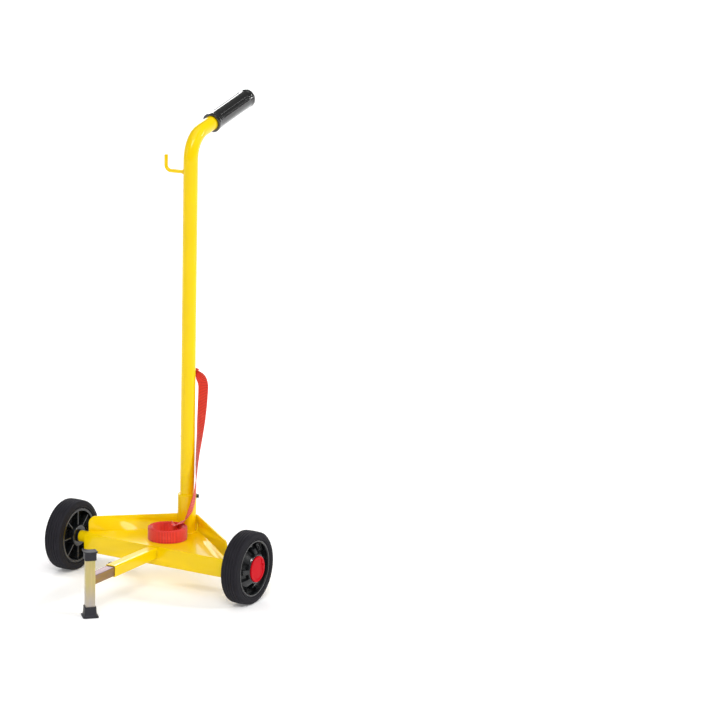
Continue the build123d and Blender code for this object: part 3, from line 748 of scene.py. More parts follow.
def cap_section(side):
    """The hub cap's section: a raised ring that widens round a small notch at the back."""
    notch, spread = radians(-14), radians(36)

    def at(angle):
        from_y = (angle + pi / 2 - notch * -side + pi) % FULL - pi if side > 0 else (angle - pi / 2
                + notch + pi) % FULL - pi
        near = 1 - eased(spread * 0.62, spread, abs(from_y))
        hole = 1 - eased(radians(6.5), radians(9), abs(from_y))
        inner = 24.3 - 5.2 * near
        floor_at = 27.4 - 3.4 * hole
        face = [(27.5 - 1.4, inner - 1.0), (27.5, inner), (27.5, inner + 0.5), (floor_at, inner + 0.9),
                (floor_at, inner + 3.0), (27.5, inner + 3.4), (27.5, 27.7), (26.7, 28.5), (24.6, 28.5)]
        points = [(26.1, 0), (26.1, 8), (26.1, 13), (26.1, inner - 2.0)] + face + [(24.6, 27.9),
                (15, 27.9), (15, 25.5), (22, 25), (23.4, 23.5), (23.4, 0)]
        return rounded([(side * a, r) for a, r in section(*points)], 0.35 * MM, 2, False)

    return at


def make_wheel(s, which, side):
    """One wheel: tyre, rim with its ribs, bush and red cap, all on the wheel's body."""
    centre = Vector((middle(which + "_tyre").x, AXLE.y, AXLE.z))
    body = which + "_wheel"
    tyre = Shape()
    tyre.turned(tyre_section(s), centre, X, Z, 160)
    tyre.made(which + "_tyre_rubber", body, "tyre", (which + "_tyre",))

    rim = Shape()
    rim.turned(rim_section(side), centre, X, Z, lobe_angles())
    for k in range(s.wheel_ribs):
        a = FULL * k / s.wheel_ribs
        spoke = Z * cos(a) + Y * sin(a)
        across = Z * -sin(a) + Y * cos(a)
        rim.bar(centre + spoke * 40.6 * MM - X * side * 9.2 * MM, spoke, across, X,
                (17.2 * MM, s.rib_thickness / 2, 7.6 * MM), 0.5 * MM)
    lip = section((-19.6, 56.2), (-18.2, 56.2), (-18.2, 58), (-19.6, 58))
    rim.turned(rounded([(side * a, r) for a, r in lip], 0.5 * MM), centre, X, Z, 120)
    rim.made(which + "_rim_moulding", body, "black_plastic", (which + "_rim",), 32)

    bush = Shape()
    sleeve = section((-21, 8.06), (-21, 10.95), (12, 10.95), (12, 8.06))
    bush.turned(rounded([(side * a, r) for a, r in sleeve], 0.4 * MM), centre, X, Z, 56)
    bush.made(which + "_wheel_bush", body, "bush_plastic", (which + "_bush",))

    cap = Shape()
    fine = [FULL * k / 180 for k in range(180)]
    cap.turned(cap_section(side), centre, X, Z, fine, False)
    cap.made(which + "_red_cap", body, "red_plastic", (which + "_hub_cap",), 32)


def leg_loop(half, corner, z, lift=0.0):
    """A rounded square about the leg, turned to the leg's angle. Lift raises its edge, most at the
    corners and not at all at the back."""
    turn = radians(45)
    out = []
    for u, v in square_loop(half, corner, 5, 8):
        du, dv = u * cos(turn) - v * sin(turn), u * sin(turn) + v * cos(turn)
        near = 0.5 + 0.5 * (min(abs(u), abs(v)) / half) ** 2.2
        near *= 1 - eased(0.0, 0.75, dv / hypot(du, dv))
        out.append(Vector((LEG.x + du, LEG.y + dv, z + lift * near)))
    return out


def make_leg(s):
    """The sliding prop leg: bar, post, welds, foot and top cap."""
    body = "prop_leg"
    softened("slide_bar", "slide_rail", body, "yellow_zinc", [(every_edge, 0.35 * MM, 2)], "bronze_zinc")
    low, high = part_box("leg_post")
    post = Shape()
    chamfer = 0.8 * MM
    heights = ((9.3, low.z), (10, low.z + chamfer), (10, (low.z + high.z) / 2), (10, high.z - chamfer),
               (9.3, high.z))
    post.rings([leg_loop(h * MM, 1.4 * MM, z) for h, z in heights])
    post.made("leg_upright", body, "yellow_zinc", ("leg_post",))

    welds = Shape()
    bar_low, bar_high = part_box("slide_bar")
    front, edge = LEG.y + 4.2 * MM, LEG.y + 13.7 * MM
    for z in (bar_low.z, bar_high.z):
        welds.bead([Vector((x * MM, y, z)) for x, y in ((-10, front), (0, edge), (10, front))], Z,
                   s.weld_width * 0.7, s.ripple)
    for x in (-10, 10):
        welds.bead([Vector((x * MM, front, z)) for z in (bar_low.z, bar_high.z)], X, s.weld_width * 0.7,
                   s.ripple)
    welds.made("leg_welds", body, "yellow_zinc")

    foot = Shape()
    rows = [(15.4, 3.6, 0), (16.7, 4, 0.7), (17, 4, 2.0), (16.7, 4, 3.2), (15.6, 3.8, 3.9),
            (14.3, 3.6, 4.7), (13.5, 3.4, 6.2), (13.1, 3.3, 9), (12.6, 3.2, 15), (12.3, 3.1, 22.6),
            (12.0, 3, 23.4),
            (11.6, 2.8, 23.6), (10.8, 1.9, 23.6), (10.2, 1.4, 23.0), (10.03, 1.2, 3.5)]
    foot.rings([leg_loop(h * MM, c * MM, z * MM) for h, c, z in rows])
    foot.made("leg_foot_rubber", body, "black_rubber", ("leg_foot",))

    top = high.z
    cap = Shape()
    rows = [(10.05, 1.2, 0, 0), (10.05, 1.2, -14.9, 0), (10.8, 1.8, -15.5, 0), (12.0, 2.6, -15.5, 0),
            (12.5, 3, -14.7, 0), (12.5, 3, -1.4, 0), (12.9, 3, -0.3, 0.5),
            (14.4, 3.2, 0.4, 2.0), (15.3, 3.4, 0.9, 3.4), (15.5, 3.5, 1.5, 3.9), (15.1, 3.4, 2.1, 3.9),
            (13.4, 3.2, 2.0, 2.4), (10.5, 2.6, 1.7, 0.9), (6, 2, 1.4, 0), (2, 0.8, 1.4, 0)]
    rows = [leg_loop(h * MM, c * MM, top + z * MM, lift * MM) for h, c, z, lift in rows]
    cap.rings(rows)
    cap.made("leg_cap_rubber", body, "black_rubber", ("leg_top_cap",))


def hex_form(shape, centre, axis, up, flats, low, high):
    """A hexagon nut or head from low to high along its axis, with its corners turned off at the top."""
    def at(angle):
        corner = hex_radius(angle, flats)
        rows = []
        for t in (0, 0.25, 0.5, 0.7, 0.8, 0.87, 0.93, 0.97, 1.0):
            s = low + (high - low) * t
            turned_off = flats / 2 * 0.96 + (high - s) * 1.9
            rows.append((s, min(corner, turned_off)))
        return [(low, 0)] + rows + [(high, 0)]
    shape.turned(at, centre, axis, up, 96, False)


def make_outrigger(s):
    """The square tube under the tray, and the nut and bolt that lock the slide."""
    half = (TUBE_HIGH.x - TUBE_LOW.x) / 2
    wall = 2 * MM
    mid_z = (TUBE_LOW.z + TUBE_HIGH.z) / 2
    tube = Shape()
    rows = []
    front, back = TUBE_LOW.y, TUBE_HIGH.y
    for h, c, y in ((half - wall, 0.8, front + 0.5 * MM), (half - wall + 0.4 * MM, 1.0, front),
                    (half - 0.5 * MM, 2.3, front), (half, 2.6, front + 0.6 * MM),
                    (half, 2.6, (front + back) / 2),
                    (half, 2.6, back - 0.6 * MM), (half - 0.5 * MM, 2.3, back),
                    (half - wall + 0.4 * MM, 1.0, back), (half - wall, 0.8, back - 0.5 * MM)):
        rows.append([Vector((u, y, mid_z + v)) for u, v in square_loop(h, c * MM, 5, 4)])
    tube.rings(rows, True)
    tube.made("outrigger_tubing", "frame", "yellow_steel", ("outrigger_tube",))

    centre = Vector((NUT_HIGH.x, (NUT_LOW.y + NUT_HIGH.y) / 2, (NUT_LOW.z + NUT_HIGH.z) / 2))
    away = -X
    nut = Shape()

    def nut_section(angle):
        corner = hex_radius(angle, 13 * MM)
        turned = [(t * 6.5 * MM, min(corner, 6.3 * MM + (6.5 - 6.5 * t) * 1.9 * MM))
                  for t in (0, 0.3, 0.6, 0.75, 0.85, 0.92, 0.97, 1.0)]
        return [(0, 4.1 * MM)] + turned + [(6.5 * MM, 4.9 * MM), (5.7 * MM, 4.1 * MM)]

    nut.turned(nut_section, centre, away, Z, 96)
    nut.made("lock_nut_hexagon", "frame", "dark_steel", ("lock_nut",), 30)
    tacks = Shape()
    for start in (20, 140, 260):
        tacks.bead(ring_path(centre + away * 0.2 * MM, X, 7.1 * MM, 16, radians(start), radians(50)), X,
                   1.3 * MM, s.ripple)
    tacks.made("lock_nut_tacks", "frame", "yellow_steel")

    bolt = Shape()
    threads, pitch = 6, 0.33
    bolt.turned(rounded(section((-1.9, 0), (-1.9, 3.2), (-1.2, 3.95), (8.4, 3.95), (8.4, 0)), 0.2 * MM, 2,
                        False), centre, away, Z, 48, False)
    for k in range(threads):
        root, crest, end = (at + pitch * k for at in (6.5, 6.66, 6.8))
        bolt.turned(section((root, 3.9), (crest, 4.15), (end, 3.9)), centre, away, Z, 48)
    hex_form(bolt, centre, away, Z, 13 * MM, 8.5 * MM, 13.75 * MM)
    bolt.made("lock_bolt_hexagon", "lock_bolt", "dark_steel", ("lock_bolt",), 30)


def mast_path(s):
    """Points along the post's centre line, from its foot to its end in the grip, and the grip's start
    and direction."""
    slope = s.grip_slope
    along = Vector((0, cos(slope), sin(slope)))
    grip_at = Vector((0, AXLE.y + GRIP_BACK, GRIP_HEIGHT))
    corner_z = grip_at.z - (grip_at.y - POST.y) * tan(slope)
    tangent = s.mast_bend * tan((pi / 2 - slope) / 2)
    foot = Vector((0, POST.y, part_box("mast_tube")[0].z))
    start = Vector((0, POST.y, corner_z - tangent))
    path = [foot.lerp(start, t / 12) for t in range(12)]
    steps = 26
    for k in range(steps + 1):
        a = pi - (pi / 2 - slope) * k / steps
        path.append(Vector((0, POST.y + s.mast_bend + s.mast_bend * cos(a), start.z + s.mast_bend
                            * sin(a))))
    end = grip_at + along * (s.grip_length - 9 * MM)
    path += [path[-1].lerp(end, t / 8) for t in range(1, 9)]
    return path, grip_at, along


def circle(radius, count=56):
    return [(radius * cos(FULL * k / count), radius * sin(FULL * k / count)) for k in range(count)]


def make_mast(s):
    """The bent post, the socket it stands in, and the screw and rivet."""
    path = mast_path(s)[0]
    post = Shape()
    rows = [(p, s.mast_radius) for p in path] + [(p, s.mast_radius - s.mast_wall) for p in reversed(path)]
    loops = []
    for i, (p, r) in enumerate(rows):
        j = i if i < len(path) else 2 * len(path) - 1 - i
        ahead = (path[min(j + 1, len(path) - 1)] - path[max(j - 1, 0)]).normalized()
        side = ahead.cross(X).normalized()
        loops.append([p + X * u + side * v for u, v in circle(r, 64)])
    post.rings(loops, True)
    post.made("mast_post", "frame", "yellow_tube", ("mast_tube",))

    low, high = SOCKET_LOW.z, SOCKET_HIGH.z
    radius = SOCKET_HIGH.x - POST.x
    bore = s.mast_radius + 0.1 * MM
    socket = Shape()
    outline = [(low, bore), (low, radius), (high, radius), (high, bore), (high - 6 * MM, bore),
               (high - 6 * MM, radius - 2 * MM), (low + 6 * MM, radius - 2 * MM), (low + 6 * MM, bore)]
    socket.turned(rounded(outline, [0.2 * MM, 0.2 * MM, 1.6 * MM, 0.9 * MM, 0.2 * MM, 0.2 * MM, 0.2 * MM,
                                    0.2 * MM], 4), Vector((POST.x, POST.y, 0)), Z, X, 96)
    socket.made("mast_collar", "frame", "yellow_steel", ("mast_socket",))

    screw_low, screw_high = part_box("screw_washer")
    middle_at = (screw_low + screw_high) / 2
    out = Vector((middle_at.x - POST.x, middle_at.y - POST.y, 0)).normalized()
    centre = Vector((POST.x, POST.y, middle_at.z))
    washer = Shape()
    washer.turned(rounded(section((21.2, 3.15), (22.4, 3.15), (22.4, 5.5), (21.2, 5.5)), 0.3 * MM), centre,
                  out, Z, 48)
    washer.made("screw_washer_ring", "frame", "dark_steel", ("screw_washer",))
    screw = Shape()

    def head(angle):
        recess = hex_radius(angle, 4.3 * MM)
        return [(13 * MM, 0), (13 * MM, 2.4 * MM), (13.6 * MM, 3 * MM), (22.4 * MM, 3 * MM),
                (22.4 * MM, 4.2 * MM), (25.6 * MM, 4.2 * MM), (26.3 * MM, 3.9 * MM), (26.6 * MM, 3.3 * MM),
                (26.6 * MM, recess + 0.25 * MM), (26.3 * MM, recess), (24.2 * MM, recess), (23.8 * MM, 0)]

    screw.turned(head, centre, out, Z, 72, False)
    screw.made("socket_head_screw", "frame", "dark_steel", ("socket_screw",), 30)

    rivet_low, rivet_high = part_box("mast_rivet")
    rivet = Shape()
    at = Vector((0, (rivet_low.y + rivet_high.y) / 2, (rivet_low.z + rivet_high.z) / 2))
    rivet.turned(section((12, 0), (12, 2), (15.9, 2), (15.9, 4.2), (16.4, 4.15), (17.0, 3.75), (17.6, 2.9),
                         (17.95, 1.9), (17.9, 1.35), (17.0, 1.2), (17.1, 0.6), (17.5, 0)), at, -X, Z, 48,
                 False)
    rivet.made("blind_rivet", "frame", "dark_steel", ("mast_rivet",))


def make_hook(s):
    """The hose hook and the strap's staple, with their welds on the post."""
    low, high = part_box("hose_hook")
    rod = 4 * MM
    y = (low.y + high.y) / 2
    tip_x, tip_z, rod_z = low.x + rod, high.z, low.z + rod
    root = -sqrt(s.mast_radius ** 2 - (POST.y - y) ** 2)
    bend = 12 * MM
    path = [Vector((root + 1.5 * MM, y, rod_z)), Vector(((root + tip_x) / 2, y, rod_z))]
    path += [Vector((tip_x + bend - bend * sin(a), y, rod_z + bend - bend * cos(a)))
             for a in (pi / 2 * k / 12 for k in range(13))]
    path += [Vector((tip_x, y, tip_z - below * MM)) for below in (8, 1.6, 0.8, 0.2, 0)]
    radii = [rod] * (len(path) - 3) + [rod * 0.93, rod * 0.72, rod * 0.4]
    hook = Shape()
    hook.swept(path, Y, lambda i: circle(radii[i], 32))
    hook.made("hose_hook_rod", "frame", "yellow_steel", ("hose_hook",))

    bar_low, bar_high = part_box("strap_staple")
    wire = STAPLE_WIRE
    back = bar_high.y - wire
    start = POST.y + s.mast_radius - 1.5 * MM
    corner = 4.5 * MM
    ends = (bar_low.z + wire, bar_high.z - wire)
    line = [Vector((0, start, ends[0])), Vector((0, back - corner, ends[0]))]
    line += [Vector((0, back - corner + corner * sin(a), ends[0] + corner - corner * cos(a)))
             for a in (pi / 2 * k / 8 for k in range(1, 9))]
    line += [Vector((0, back - corner + corner * cos(a), ends[1] - corner + corner * sin(a)))
             for a in (pi / 2 * k / 8 for k in range(0, 9))]
    line += [Vector((0, start, ends[1]))]
    staple = Shape()
    staple.swept(line, X, circle(wire, 28))
    staple.made("strap_staple_rod", "frame", "yellow_steel", ("strap_staple",))

    welds = Shape()
    welds.bead(ring_path(Vector((root - 0.2 * MM, y, rod_z)), X, rod + 0.3 * MM, 40), X,
               s.weld_width * 0.7, s.ripple, True)
    for z in ends:
        welds.bead(ring_path(Vector((0, POST.y + s.mast_radius + 0.2 * MM, z)), Y, wire + 0.4 * MM, 32), Y,
                   s.weld_width * 0.6, s.ripple, True)
    welds.made("post_welds", "frame", "yellow_steel")


def make_grip(s):
    """The glossy grip: collars at both ends and long sunk panels with light rims."""
    start, along = mast_path(s)[1:]
    up = X.cross(along).normalized()
    length, collar = s.grip_length, s.grip_radius / MM
    bore = s.mast_radius + 0.04 * MM
    outline = section((0, 19.6), (0.3, 20.8), (1.2, collar), (7.6, collar), (9.0, collar - 0.3),
                      (10.6, collar - 1.4), (14, collar - 1.6), (80, collar - 1.8), (142, collar - 1.6),
                      (148, collar - 1.2), (151, collar - 0.4), (154, collar - 0.25),
                      (157.5, collar - 0.8), (160.2, collar - 2.4), (162.4, collar - 5),
                      (163.6, collar - 8.5), (164, collar - 13))
    first, last, half = 20 * MM, 140 * MM, 5.3 * MM

    def radius_at(distance):
        for (a, r), (b, q) in zip(outline, outline[1:]):
            if distance <= b:
                return r + (q - r) * (distance - a) / (b - a)
        return outline[-1][1]

    steps = [0.0]
    while steps[-1] < length:
        near_end = min(abs(steps[-1] - e) for e in (0, first, last, length, 9 * MM, 154 * MM)) < 7 * MM
        steps.append(min(length, steps[-1] + (0.45 if near_end else 2.0) * MM))
    panel = FULL / s.grip_panels
    facing = radians(118)
    columns = 288

    def sunk(distance, angle, r):
        turn = (angle - facing + panel / 2) % panel - panel / 2
        across = abs(turn) * r
        inside_x = max(0.0, abs(distance - (first + last) / 2) - ((last - first) / 2 - half))
        edge = hypot(inside_x, across) - half
        depth = s.panel_depth * (1 - eased(-0.7 * MM, 0.35 * MM, edge))
        rim = 0.28 * MM * max(0.0, 1 - abs(edge - 0.6 * MM) / (0.7 * MM))
        off_centre = hypot((distance - last + 9 * MM) / (2.6 * MM), across / (1.5 * MM))
        hole = 1.6 * MM * (1 - eased(0.55, 1.0, off_centre))
        return rim - depth - hole

    rows = []
    for d in steps:
        base = radius_at(d)
        row = []
        for k in range(columns):
            a = FULL * k / columns
            r = base + (sunk(d, a, base) if base > 18 * MM else 0)
            row.append(start + along * d + (X * cos(a) + up * sin(a)) * r)
        rows.append(row)
    inner = [[start + along * d + (X * cos(FULL * k / columns) + up * sin(FULL * k / columns)) * r
              for k in range(columns)]
             for d, r in ((length - 5 * MM, 2 * MM), (length - 5 * MM, bore), (1.2 * MM, bore),
                          (0.2 * MM, bore + 1.0 * MM))]
    grip = Shape()
    grip.rings(rows + inner, False, False)
    last_row = (len(rows) + len(inner) - 1) * columns
    for k in range(columns):
        m = (k + 1) % columns
        grip.faces.append((last_row + k, last_row + m, m, k))
    end_cap, bore_cap = (len(rows) - 1) * columns, len(rows) * columns
    # the band between the outer end and the bore's bottom gives way to a flat cap on each
    band = range(end_cap, bore_cap + columns)
    grip.faces = [f for f in grip.faces if not (min(f) in band and max(f) in band and max(f) >= bore_cap)]
    for first_point in (end_cap, bore_cap):
        grip.faces.append(tuple(first_point + k for k in range(columns)))
    grip.made("handle_grip_moulding", "frame", "black_grip", ("handle_grip",), 40)


# ------------------------------------------------------------ strap
def staple_bar():
    """The middle of the staple's upright bar, where the strap goes round it."""
    low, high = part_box("strap_staple")
    return Vector((0, high.y - STAPLE_WIRE, (low.z + high.z) / 2 - 0.6 * MM))


def strap_stations(s):
    """The webbing's stations: (middle, vector from one edge to the other, length along, how far it is
    gathered).
    It is gathered and sewn round the staple's bar, opens out behind the post, hangs to the tray and winds
    into a coil."""
    width = s.webbing_width
    y0 = AXLE.y
    bar = staple_bar()
    around = STAPLE_WIRE + 2.0 * s.webbing_thickness
    tight = 1.0
    out, length = [], 0.0
    loop = [(8.5, 0.50), (6.0, 0.56), (3.5, 0.80), (1.2, 0.97)]
    loop += [(around / MM * cos(a), sin(a)) for a in (pi / 2 + pi * k / 12 for k in range(13))]
    loop += [(1.2, -0.98), (3.5, -0.9)]
    for x, y in loop:
        p = bar + Vector((x * MM, around * y, 0))
        length += (p - out[-1][0]).length if out else 0.0
        out.append((p, Z * width, length, tight))
    # from the loop it turns down as it opens, then hangs, and goes over the coil's back edge into its
    # open middle
    route = [(6.6, 138.6, 459.0, 8, 78, 1.0), (12.7, 138.5, 455.4, 4, 52, 0.72),
             (18.9, 138.3, 449.6, 0, 38, 0.36), (23.6, 138.1, 442.6, -2, 16, 0.12),
             (26.3, 137.9, 431.5, -3, 0, 0),
             (26.6, 137.5, 416, -6, 0, 0), (25.4, 137.0, 386, -10, 0, 0), (23.6, 135.6, 351, -18, 0, 0),
             (22.2, 132.6, 317, -30, 0, 0), (21.0, 127.4, 279, -42, 0, 0), (21.4, 123.2, 254, -48, 0, 0),
             (22.8, 119.4, 233, -53, 0, 0), (25.6, 112, 200, -64, 0, 0), (25.0, 104.6, 173, -78, 0, 0),
             (22.2, 95.6, 150, -84, 0, 0), (17.2, 86.4, 134.6, -74, 0, 0), (12.8, 79.6, 127.2, -60, 0, 0)]
    centre = Vector(((COIL_LOW.x + COIL_HIGH.x) / 2, (COIL_LOW.y + COIL_HIGH.y) / 2, 0))
    outer = (COIL_HIGH.x - COIL_LOW.x) / 2 - 0.8 * MM
    inner = 34.6 * MM
    level = (COIL_LOW.z + COIL_HIGH.z) / 2
    sunk = [(74, 30.5, 122.5, -34, 24), (90, 30.0, 116.5, -10, 54), (106, 32.0, 112.0, 10, 78),
            (120, 34.2, 109.9, 28, 90), (134, 34.6, 109.6, 44, 90)]
    knots = [(out[-1][0], 0.0, 90.0, tight)]
    knots += [(Vector((a * MM, y0 + b * MM, c * MM)), *rest) for a, b, c, *rest in route]
    knots += [(centre + Vector((r * MM * cos(radians(a)), r * MM * sin(radians(a)), z * MM)), turn, stand,
               0.0) for a, r, z, turn, stand in sunk]
    run = []
    for i in range(len(knots) - 1):
        four = (knots[min(max(j, 0), len(knots) - 1)] for j in range(i - 1, i + 3))
        (a, *_), (b, *near), (c, *far), (d, *_) = four
        steps = max(3, ceil((c - b).length / (3 * MM)))
        for k in range(steps):
            t = k / steps
            p = 0.5 * ((2 * b) + (c - a) * t + (2 * a - 5 * b + 4 * c - d) * t * t
                       + (3 * b - a - 3 * c + d) * t ** 3)
            run.append((p, *(m + (n - m) * t for m, n in zip(near, far))))
    last = out[-1][0]
    for i, (p, turn, stand, gather) in enumerate(run[1:-1], 1):
        ahead = (run[i + 1][0] - run[i - 1][0]).normalized()
        turn, stand = radians(turn), radians(stand)
        lying = Vector((cos(turn), sin(turn), 0))
        w = lying * cos(stand) + Z * sin(stand)
        w = (w - ahead * w.dot(ahead)).normalized()
        length += (p - last).length
        out.append((p, w * width, length, gather))
        last = p
    draw = random.Random(7)
    drift = [draw.uniform(-0.25, 0.25) for _ in range(s.coil_turns * 8 + 12)]
    total = s.coil_turns * 72 - 10
    begin = radians(134)
    for k in range(total + 1):
        a = begin + FULL * k / 72
        g = k / 9
        wobble = drift[int(g)] * (1 - g % 1) + drift[int(g) + 1] * (g % 1)
        r = inner + (outer - inner) * k / total + wobble * 0.9 * MM * min(1, k / 40) * min(1,
                (total - k) / 30)
        p = centre + Vector((r * cos(a), r * sin(a), level + wobble * 1.0 * MM))
        length += (p - last).length
        out.append((p, Z * width, length, 0.0))
        last = p
    return out


def make_strap(s):
    """The webbing strap as one closed ribbon that carries its own weave coordinates, and the stitching
    on its sewn end."""
    stations = strap_stations(s)
    count = len(stations)
    half_t = s.webbing_thickness / 2
    cross = [(-0.5, 0.0), (-0.485, -0.75), (-0.455, -1.0), (-0.25, -1.0), (0.0, -1.0), (0.25, -1.0),
             (0.455, -1.0), (0.485, -0.75),
             (0.5, 0.0), (0.485, 0.75), (0.455, 1.0), (0.25, 1.0), (0.0, 1.0), (-0.25, 1.0), (-0.455, 1.0),
             (-0.485, 0.75)]
    shape, rows = Shape(), []
    for i, (p, w, along, gather) in enumerate(stations):
        ahead = stations[min(i + 1, count - 1)][0] - stations[max(i - 1, 0)][0]
        normal = w.cross(ahead).normalized()
        bend = max(0.01, gather * radians(305))
        row = []
        for u, v in cross:
            a = bend * u
            flat = sin(a) / bend
            rise = (cos(a) - sin(bend / 2) / (bend / 2)) / bend * s.webbing_width * (1 - 0.62 * gather)
            face = w.normalized() * sin(a) * (1 - 0.3 * gather) + normal * cos(a)
            row.append(p + w * flat + normal * rise + face * half_t * v)
        rows.append(row)
        shape.weave += [(u * s.webbing_width, along) for u, v in cross]
    shape.rings(rows)
    strap = shape.made("lashing_strap", "frame", "red_webbing", ("strap_run", "strap_loop", "strap_coil"),
                       50)

    thread = Shape()
    stitch = ((-0.95, 0.12), (-0.75, 0.3), (0, 0.36), (0.75, 0.3), (0.95, 0.12))
    for x in (4.6, 6.0, 7.4):
        for k in range(3):
            c = staple_bar() + Vector((x * MM, 6.3 * MM, (2.4 * k - 2.4) * MM))
            thread.swept([c + Z * t * MM for t, _ in stitch], X, lambda i: circle(stitch[i][1] * MM, 8))
    thread.made("strap_stitches", "frame", "red_webbing", (), 60)


# ------------------------------------------------------------ stage
def make_stage(c):
    """Pale floor and backdrop, soft studio light and the camera."""
    scene = bpy.context.scene
    scene.view_settings.view_transform = "Standard"
    world = bpy.data.worlds.new("studio_air")
    world.use_nodes = True
    background = next(n for n in world.node_tree.nodes if n.type == "BACKGROUND")
    background.inputs["Color"].default_value = (1.0, 1.0, 1.0, 1.0)
    background.inputs["Strength"].default_value = 0.2
    scene.world = world

    profile = [(-9.0, 0.0)] + [(y, 0.0) for y in (-4.0, 0.0, 3.0)]
    profile += [(3.0 + 3.0 * sin(a), 3.0 - 3.0 * cos(a)) for a in (pi / 2 * k / 16 for k in range(1, 17))]
    turn = Matrix.Rotation(radians(28), 4, "Z")
    points = []
    for x in (-12.0, 12.0):
        points += [turn @ Vector((x, y, z)) for y, z in profile]
    n = len(profile)
    faces = [(i, i + 1, n + i + 1, n + i) for i in range(n - 1)]
    mesh = bpy.data.meshes.new("studio_floor")
    mesh.from_pydata([tuple(p) for p in points], [], faces)
    mesh.shade_smooth()
    f = Finish("floor_finish", Specular_IOR_Level=0.0, Emission_Color=(1.0, 1.0, 1.0, 1.0),
               Emission_Strength=0.16)
    f.feed("Base Color", f.mix(f.noise(3, 2), shade(c.floor, 0.985), tuple(c.floor)))
    f.feed("Roughness", 0.75 + 0.1 * f.noise(8, 2))
    mesh.materials.append(f.material)
    floor = bpy.data.objects.new("studio_floor", mesh)
    scene.collection.objects.link(floor)

    # a pale wall all round, which only the camera sees
    count, reach, low, high = 96, 11.0, -3.0, 10.0
    around = circle(reach, count)
    mesh = bpy.data.meshes.new("studio_wall")
    mesh.from_pydata([(x, y, z) for z in (low, high) for x, y in around], [],
                     [(k, (k + 1) % count, count + (k + 1) % count, count + k) for k in range(count)])
    pale = Finish("wall_finish", Specular_IOR_Level=0.0, Emission_Color=(1.0, 1.0, 1.0, 1.0),
                  Emission_Strength=1.0)
    mesh.materials.append(pale.material)
    wall = bpy.data.objects.new("studio_wall", mesh)
    wall.visible_diffuse = wall.visible_glossy = wall.visible_transmission = wall.visible_shadow = False
    scene.collection.objects.link(wall)

    for name, toward, strength, spread in (
        ("key_sun", (0.45, -0.80, 0.85), 1.25, 24),
        ("side_sun", (0.977, 0.21, 0.55), 1.0, 6),
        ("back_sun", (0.76, 0.62, 0.22), 0.55, 8),
        ("top_sun", (0.05, -0.25, 1.0), 0.9, 60),
    ):
        lamp = bpy.data.lights.new(name, "SUN")
        lamp.energy, lamp.angle = strength, radians(spread)
        holder = bpy.data.objects.new(name, lamp)
        holder.rotation_mode = "QUATERNION"
        holder.rotation_quaternion = (-Vector(toward)).to_track_quat("-Z", "Y")
        scene.collection.objects.link(holder)
    for name, place, aim, size, power in (
        ("left_strip", (-1.9, -1.9, 1.7), (0, 0, 0.4), (0.4, 2.0), 7),
        ("back_panel", (-2.0, 2.55, 2.1), (0, 0.2, 1.0), (1.5, 1.5), 40),
    ):
        lamp = bpy.data.lights.new(name, "AREA")
        lamp.shape, lamp.size, lamp.size_y, lamp.energy = "RECTANGLE", size[0], size[1], power
        holder = bpy.data.objects.new(name, lamp)
        holder.location = place
        holder.rotation_mode = "QUATERNION"
        holder.rotation_quaternion = (Vector(aim) - Vector(place)).to_track_quat("-Z", "Y")
        scene.collection.objects.link(holder)

    camera = bpy.data.cameras.new("studio_camera")
    camera.sensor_width, camera.lens = 36.0, 120.4607
    camera.clip_start, camera.clip_end = 0.05, 60.0
    holder = bpy.data.objects.new("studio_camera", camera)
    eye = Vector((2.74846917, AXLE.y - 4.22742384, 1.60032989))
    look = Vector((-0.46259776, 0.86185118, -0.20788425)).normalized()
    roll = radians(1.4797975)
    level = look.cross(Z).normalized()
    above = level.cross(look)
    right = level * cos(roll) + above * sin(roll)
    up = above * cos(roll) - level * sin(roll)
    turned = Matrix((right, up, -look)).transposed()
    holder.rotation_mode = "QUATERNION"
    holder.rotation_quaternion = turned.to_quaternion()
    holder.location = eye
    scene.collection.objects.link(holder)
    scene.camera = holder


# ------------------------------------------------------------ operators
class CartOperator:
    """What the cart's operators share: the size and colour groups, and a plain failure."""
    bl_options = {"REGISTER", "UNDO"}

    def execute(self, context):
        if "base_plate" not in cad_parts:
            raise RuntimeError("the cart's engineering model isn't loaded")
        self.build(context.scene.cart_sizes, context.scene.cart_colours)
        return {"FINISHED"}


class CART_OT_tray(CartOperator, bpy.types.Operator):
    """Folded steel tray with its welds"""
    bl_idname = "cart.tray"
    bl_label = "Tray"

    def build(self, sizes, colours):
        make_tray(sizes)


class CART_OT_axle(CartOperator, bpy.types.Operator):
    """Axle casing, bar, washers and clips"""
    bl_idname = "cart.axle"
    bl_label = "Axle"

    def build(self, sizes, colours):
        make_axle(sizes)


class CART_OT_wheels(CartOperator, bpy.types.Operator):
    """Both wheels: tyre, rim, bush and red cap"""
    bl_idname = "cart.wheels"
    bl_label = "Wheels"

    def build(self, sizes, colours):
        make_wheel(sizes, "right", 1)
        make_wheel(sizes, "left", -1)


class CART_OT_outrigger(CartOperator, bpy.types.Operator):
    """Square outrigger tube with its lock nut and bolt"""
    bl_idname = "cart.outrigger"
    bl_label = "Outrigger"

    def build(self, sizes, colours):
        make_outrigger(sizes)


class CART_OT_leg(CartOperator, bpy.types.Operator):
    """Sliding prop leg with its foot and cap"""
    bl_idname = "cart.leg"
    bl_label = "Prop leg"

    def build(self, sizes, colours):
        make_leg(sizes)


class CART_OT_mast(CartOperator, bpy.types.Operator):
    """Bent post, its socket, clamp screw and rivet"""
    bl_idname = "cart.mast"
    bl_label = "Post"

    def build(self, sizes, colours):
        make_mast(sizes)


class CART_OT_hook(CartOperator, bpy.types.Operator):
    """Hose hook and strap staple with their welds"""
    bl_idname = "cart.hook"
    bl_label = "Hook and staple"

    def build(self, sizes, colours):
        make_hook(sizes)


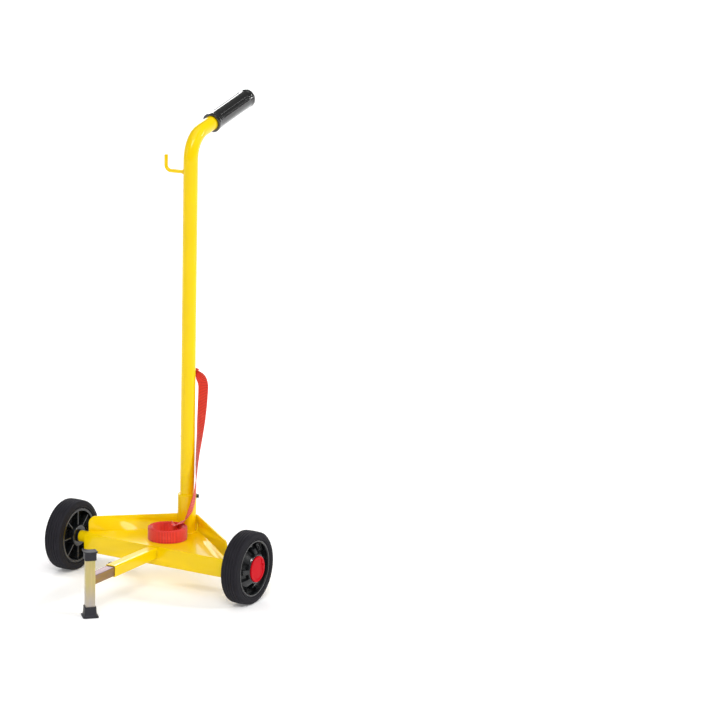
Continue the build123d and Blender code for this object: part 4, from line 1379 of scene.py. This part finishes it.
class CART_OT_grip(CartOperator, bpy.types.Operator):
    """Glossy grip with sunk panels"""
    bl_idname = "cart.grip"
    bl_label = "Grip"

    def build(self, sizes, colours):
        make_grip(sizes)


class CART_OT_strap(CartOperator, bpy.types.Operator):
    """Webbing strap: sewn loop, hanging run and coil"""
    bl_idname = "cart.strap"
    bl_label = "Strap"

    def build(self, sizes, colours):
        make_strap(sizes)


class CART_OT_stage(CartOperator, bpy.types.Operator):
    """Floor, lights and camera"""
    bl_idname = "cart.stage"
    bl_label = "Stage"

    def build(self, sizes, colours):
        make_stage(colours)


OPERATORS = (CART_OT_stage, CART_OT_strap, CART_OT_tray, CART_OT_axle, CART_OT_wheels, CART_OT_outrigger,
             CART_OT_leg, CART_OT_mast, CART_OT_hook, CART_OT_grip)


class CART_PT_panel(bpy.types.Panel):
    """Lists the cart's pieces, sizes and colours"""
    bl_idname = "CART_PT_panel"
    bl_label = "Cylinder cart"
    bl_space_type = "VIEW_3D"
    bl_region_type = "UI"
    bl_category = "Cart"

    def draw(self, context):
        for maker in OPERATORS:
            self.layout.operator(maker.bl_idname)
        for group in (context.scene.cart_sizes, context.scene.cart_colours):
            box = self.layout.box()
            for name in group.bl_rna.properties.keys():
                if name not in {"rna_type", "name"}:
                    box.prop(group, name)


CLASSES = (CartSizes, CartColours, *OPERATORS, CART_PT_panel)


def register():
    for each in CLASSES:
        bpy.utils.register_class(each)
    bpy.types.Scene.cart_sizes = PointerProperty(type=CartSizes)
    bpy.types.Scene.cart_colours = PointerProperty(type=CartColours)


def unregister():
    del bpy.types.Scene.cart_colours
    del bpy.types.Scene.cart_sizes
    for each in reversed(CLASSES):
        bpy.utils.unregister_class(each)


def main():
    register()
    bpy.ops.cart.stage()
    bpy.ops.cart.strap()
    bpy.ops.cart.tray()
    bpy.ops.cart.axle()
    bpy.ops.cart.wheels()
    bpy.ops.cart.outrigger()
    bpy.ops.cart.leg()
    bpy.ops.cart.mast()
    bpy.ops.cart.hook()
    bpy.ops.cart.grip()


if __name__ == "__main__":
    main()
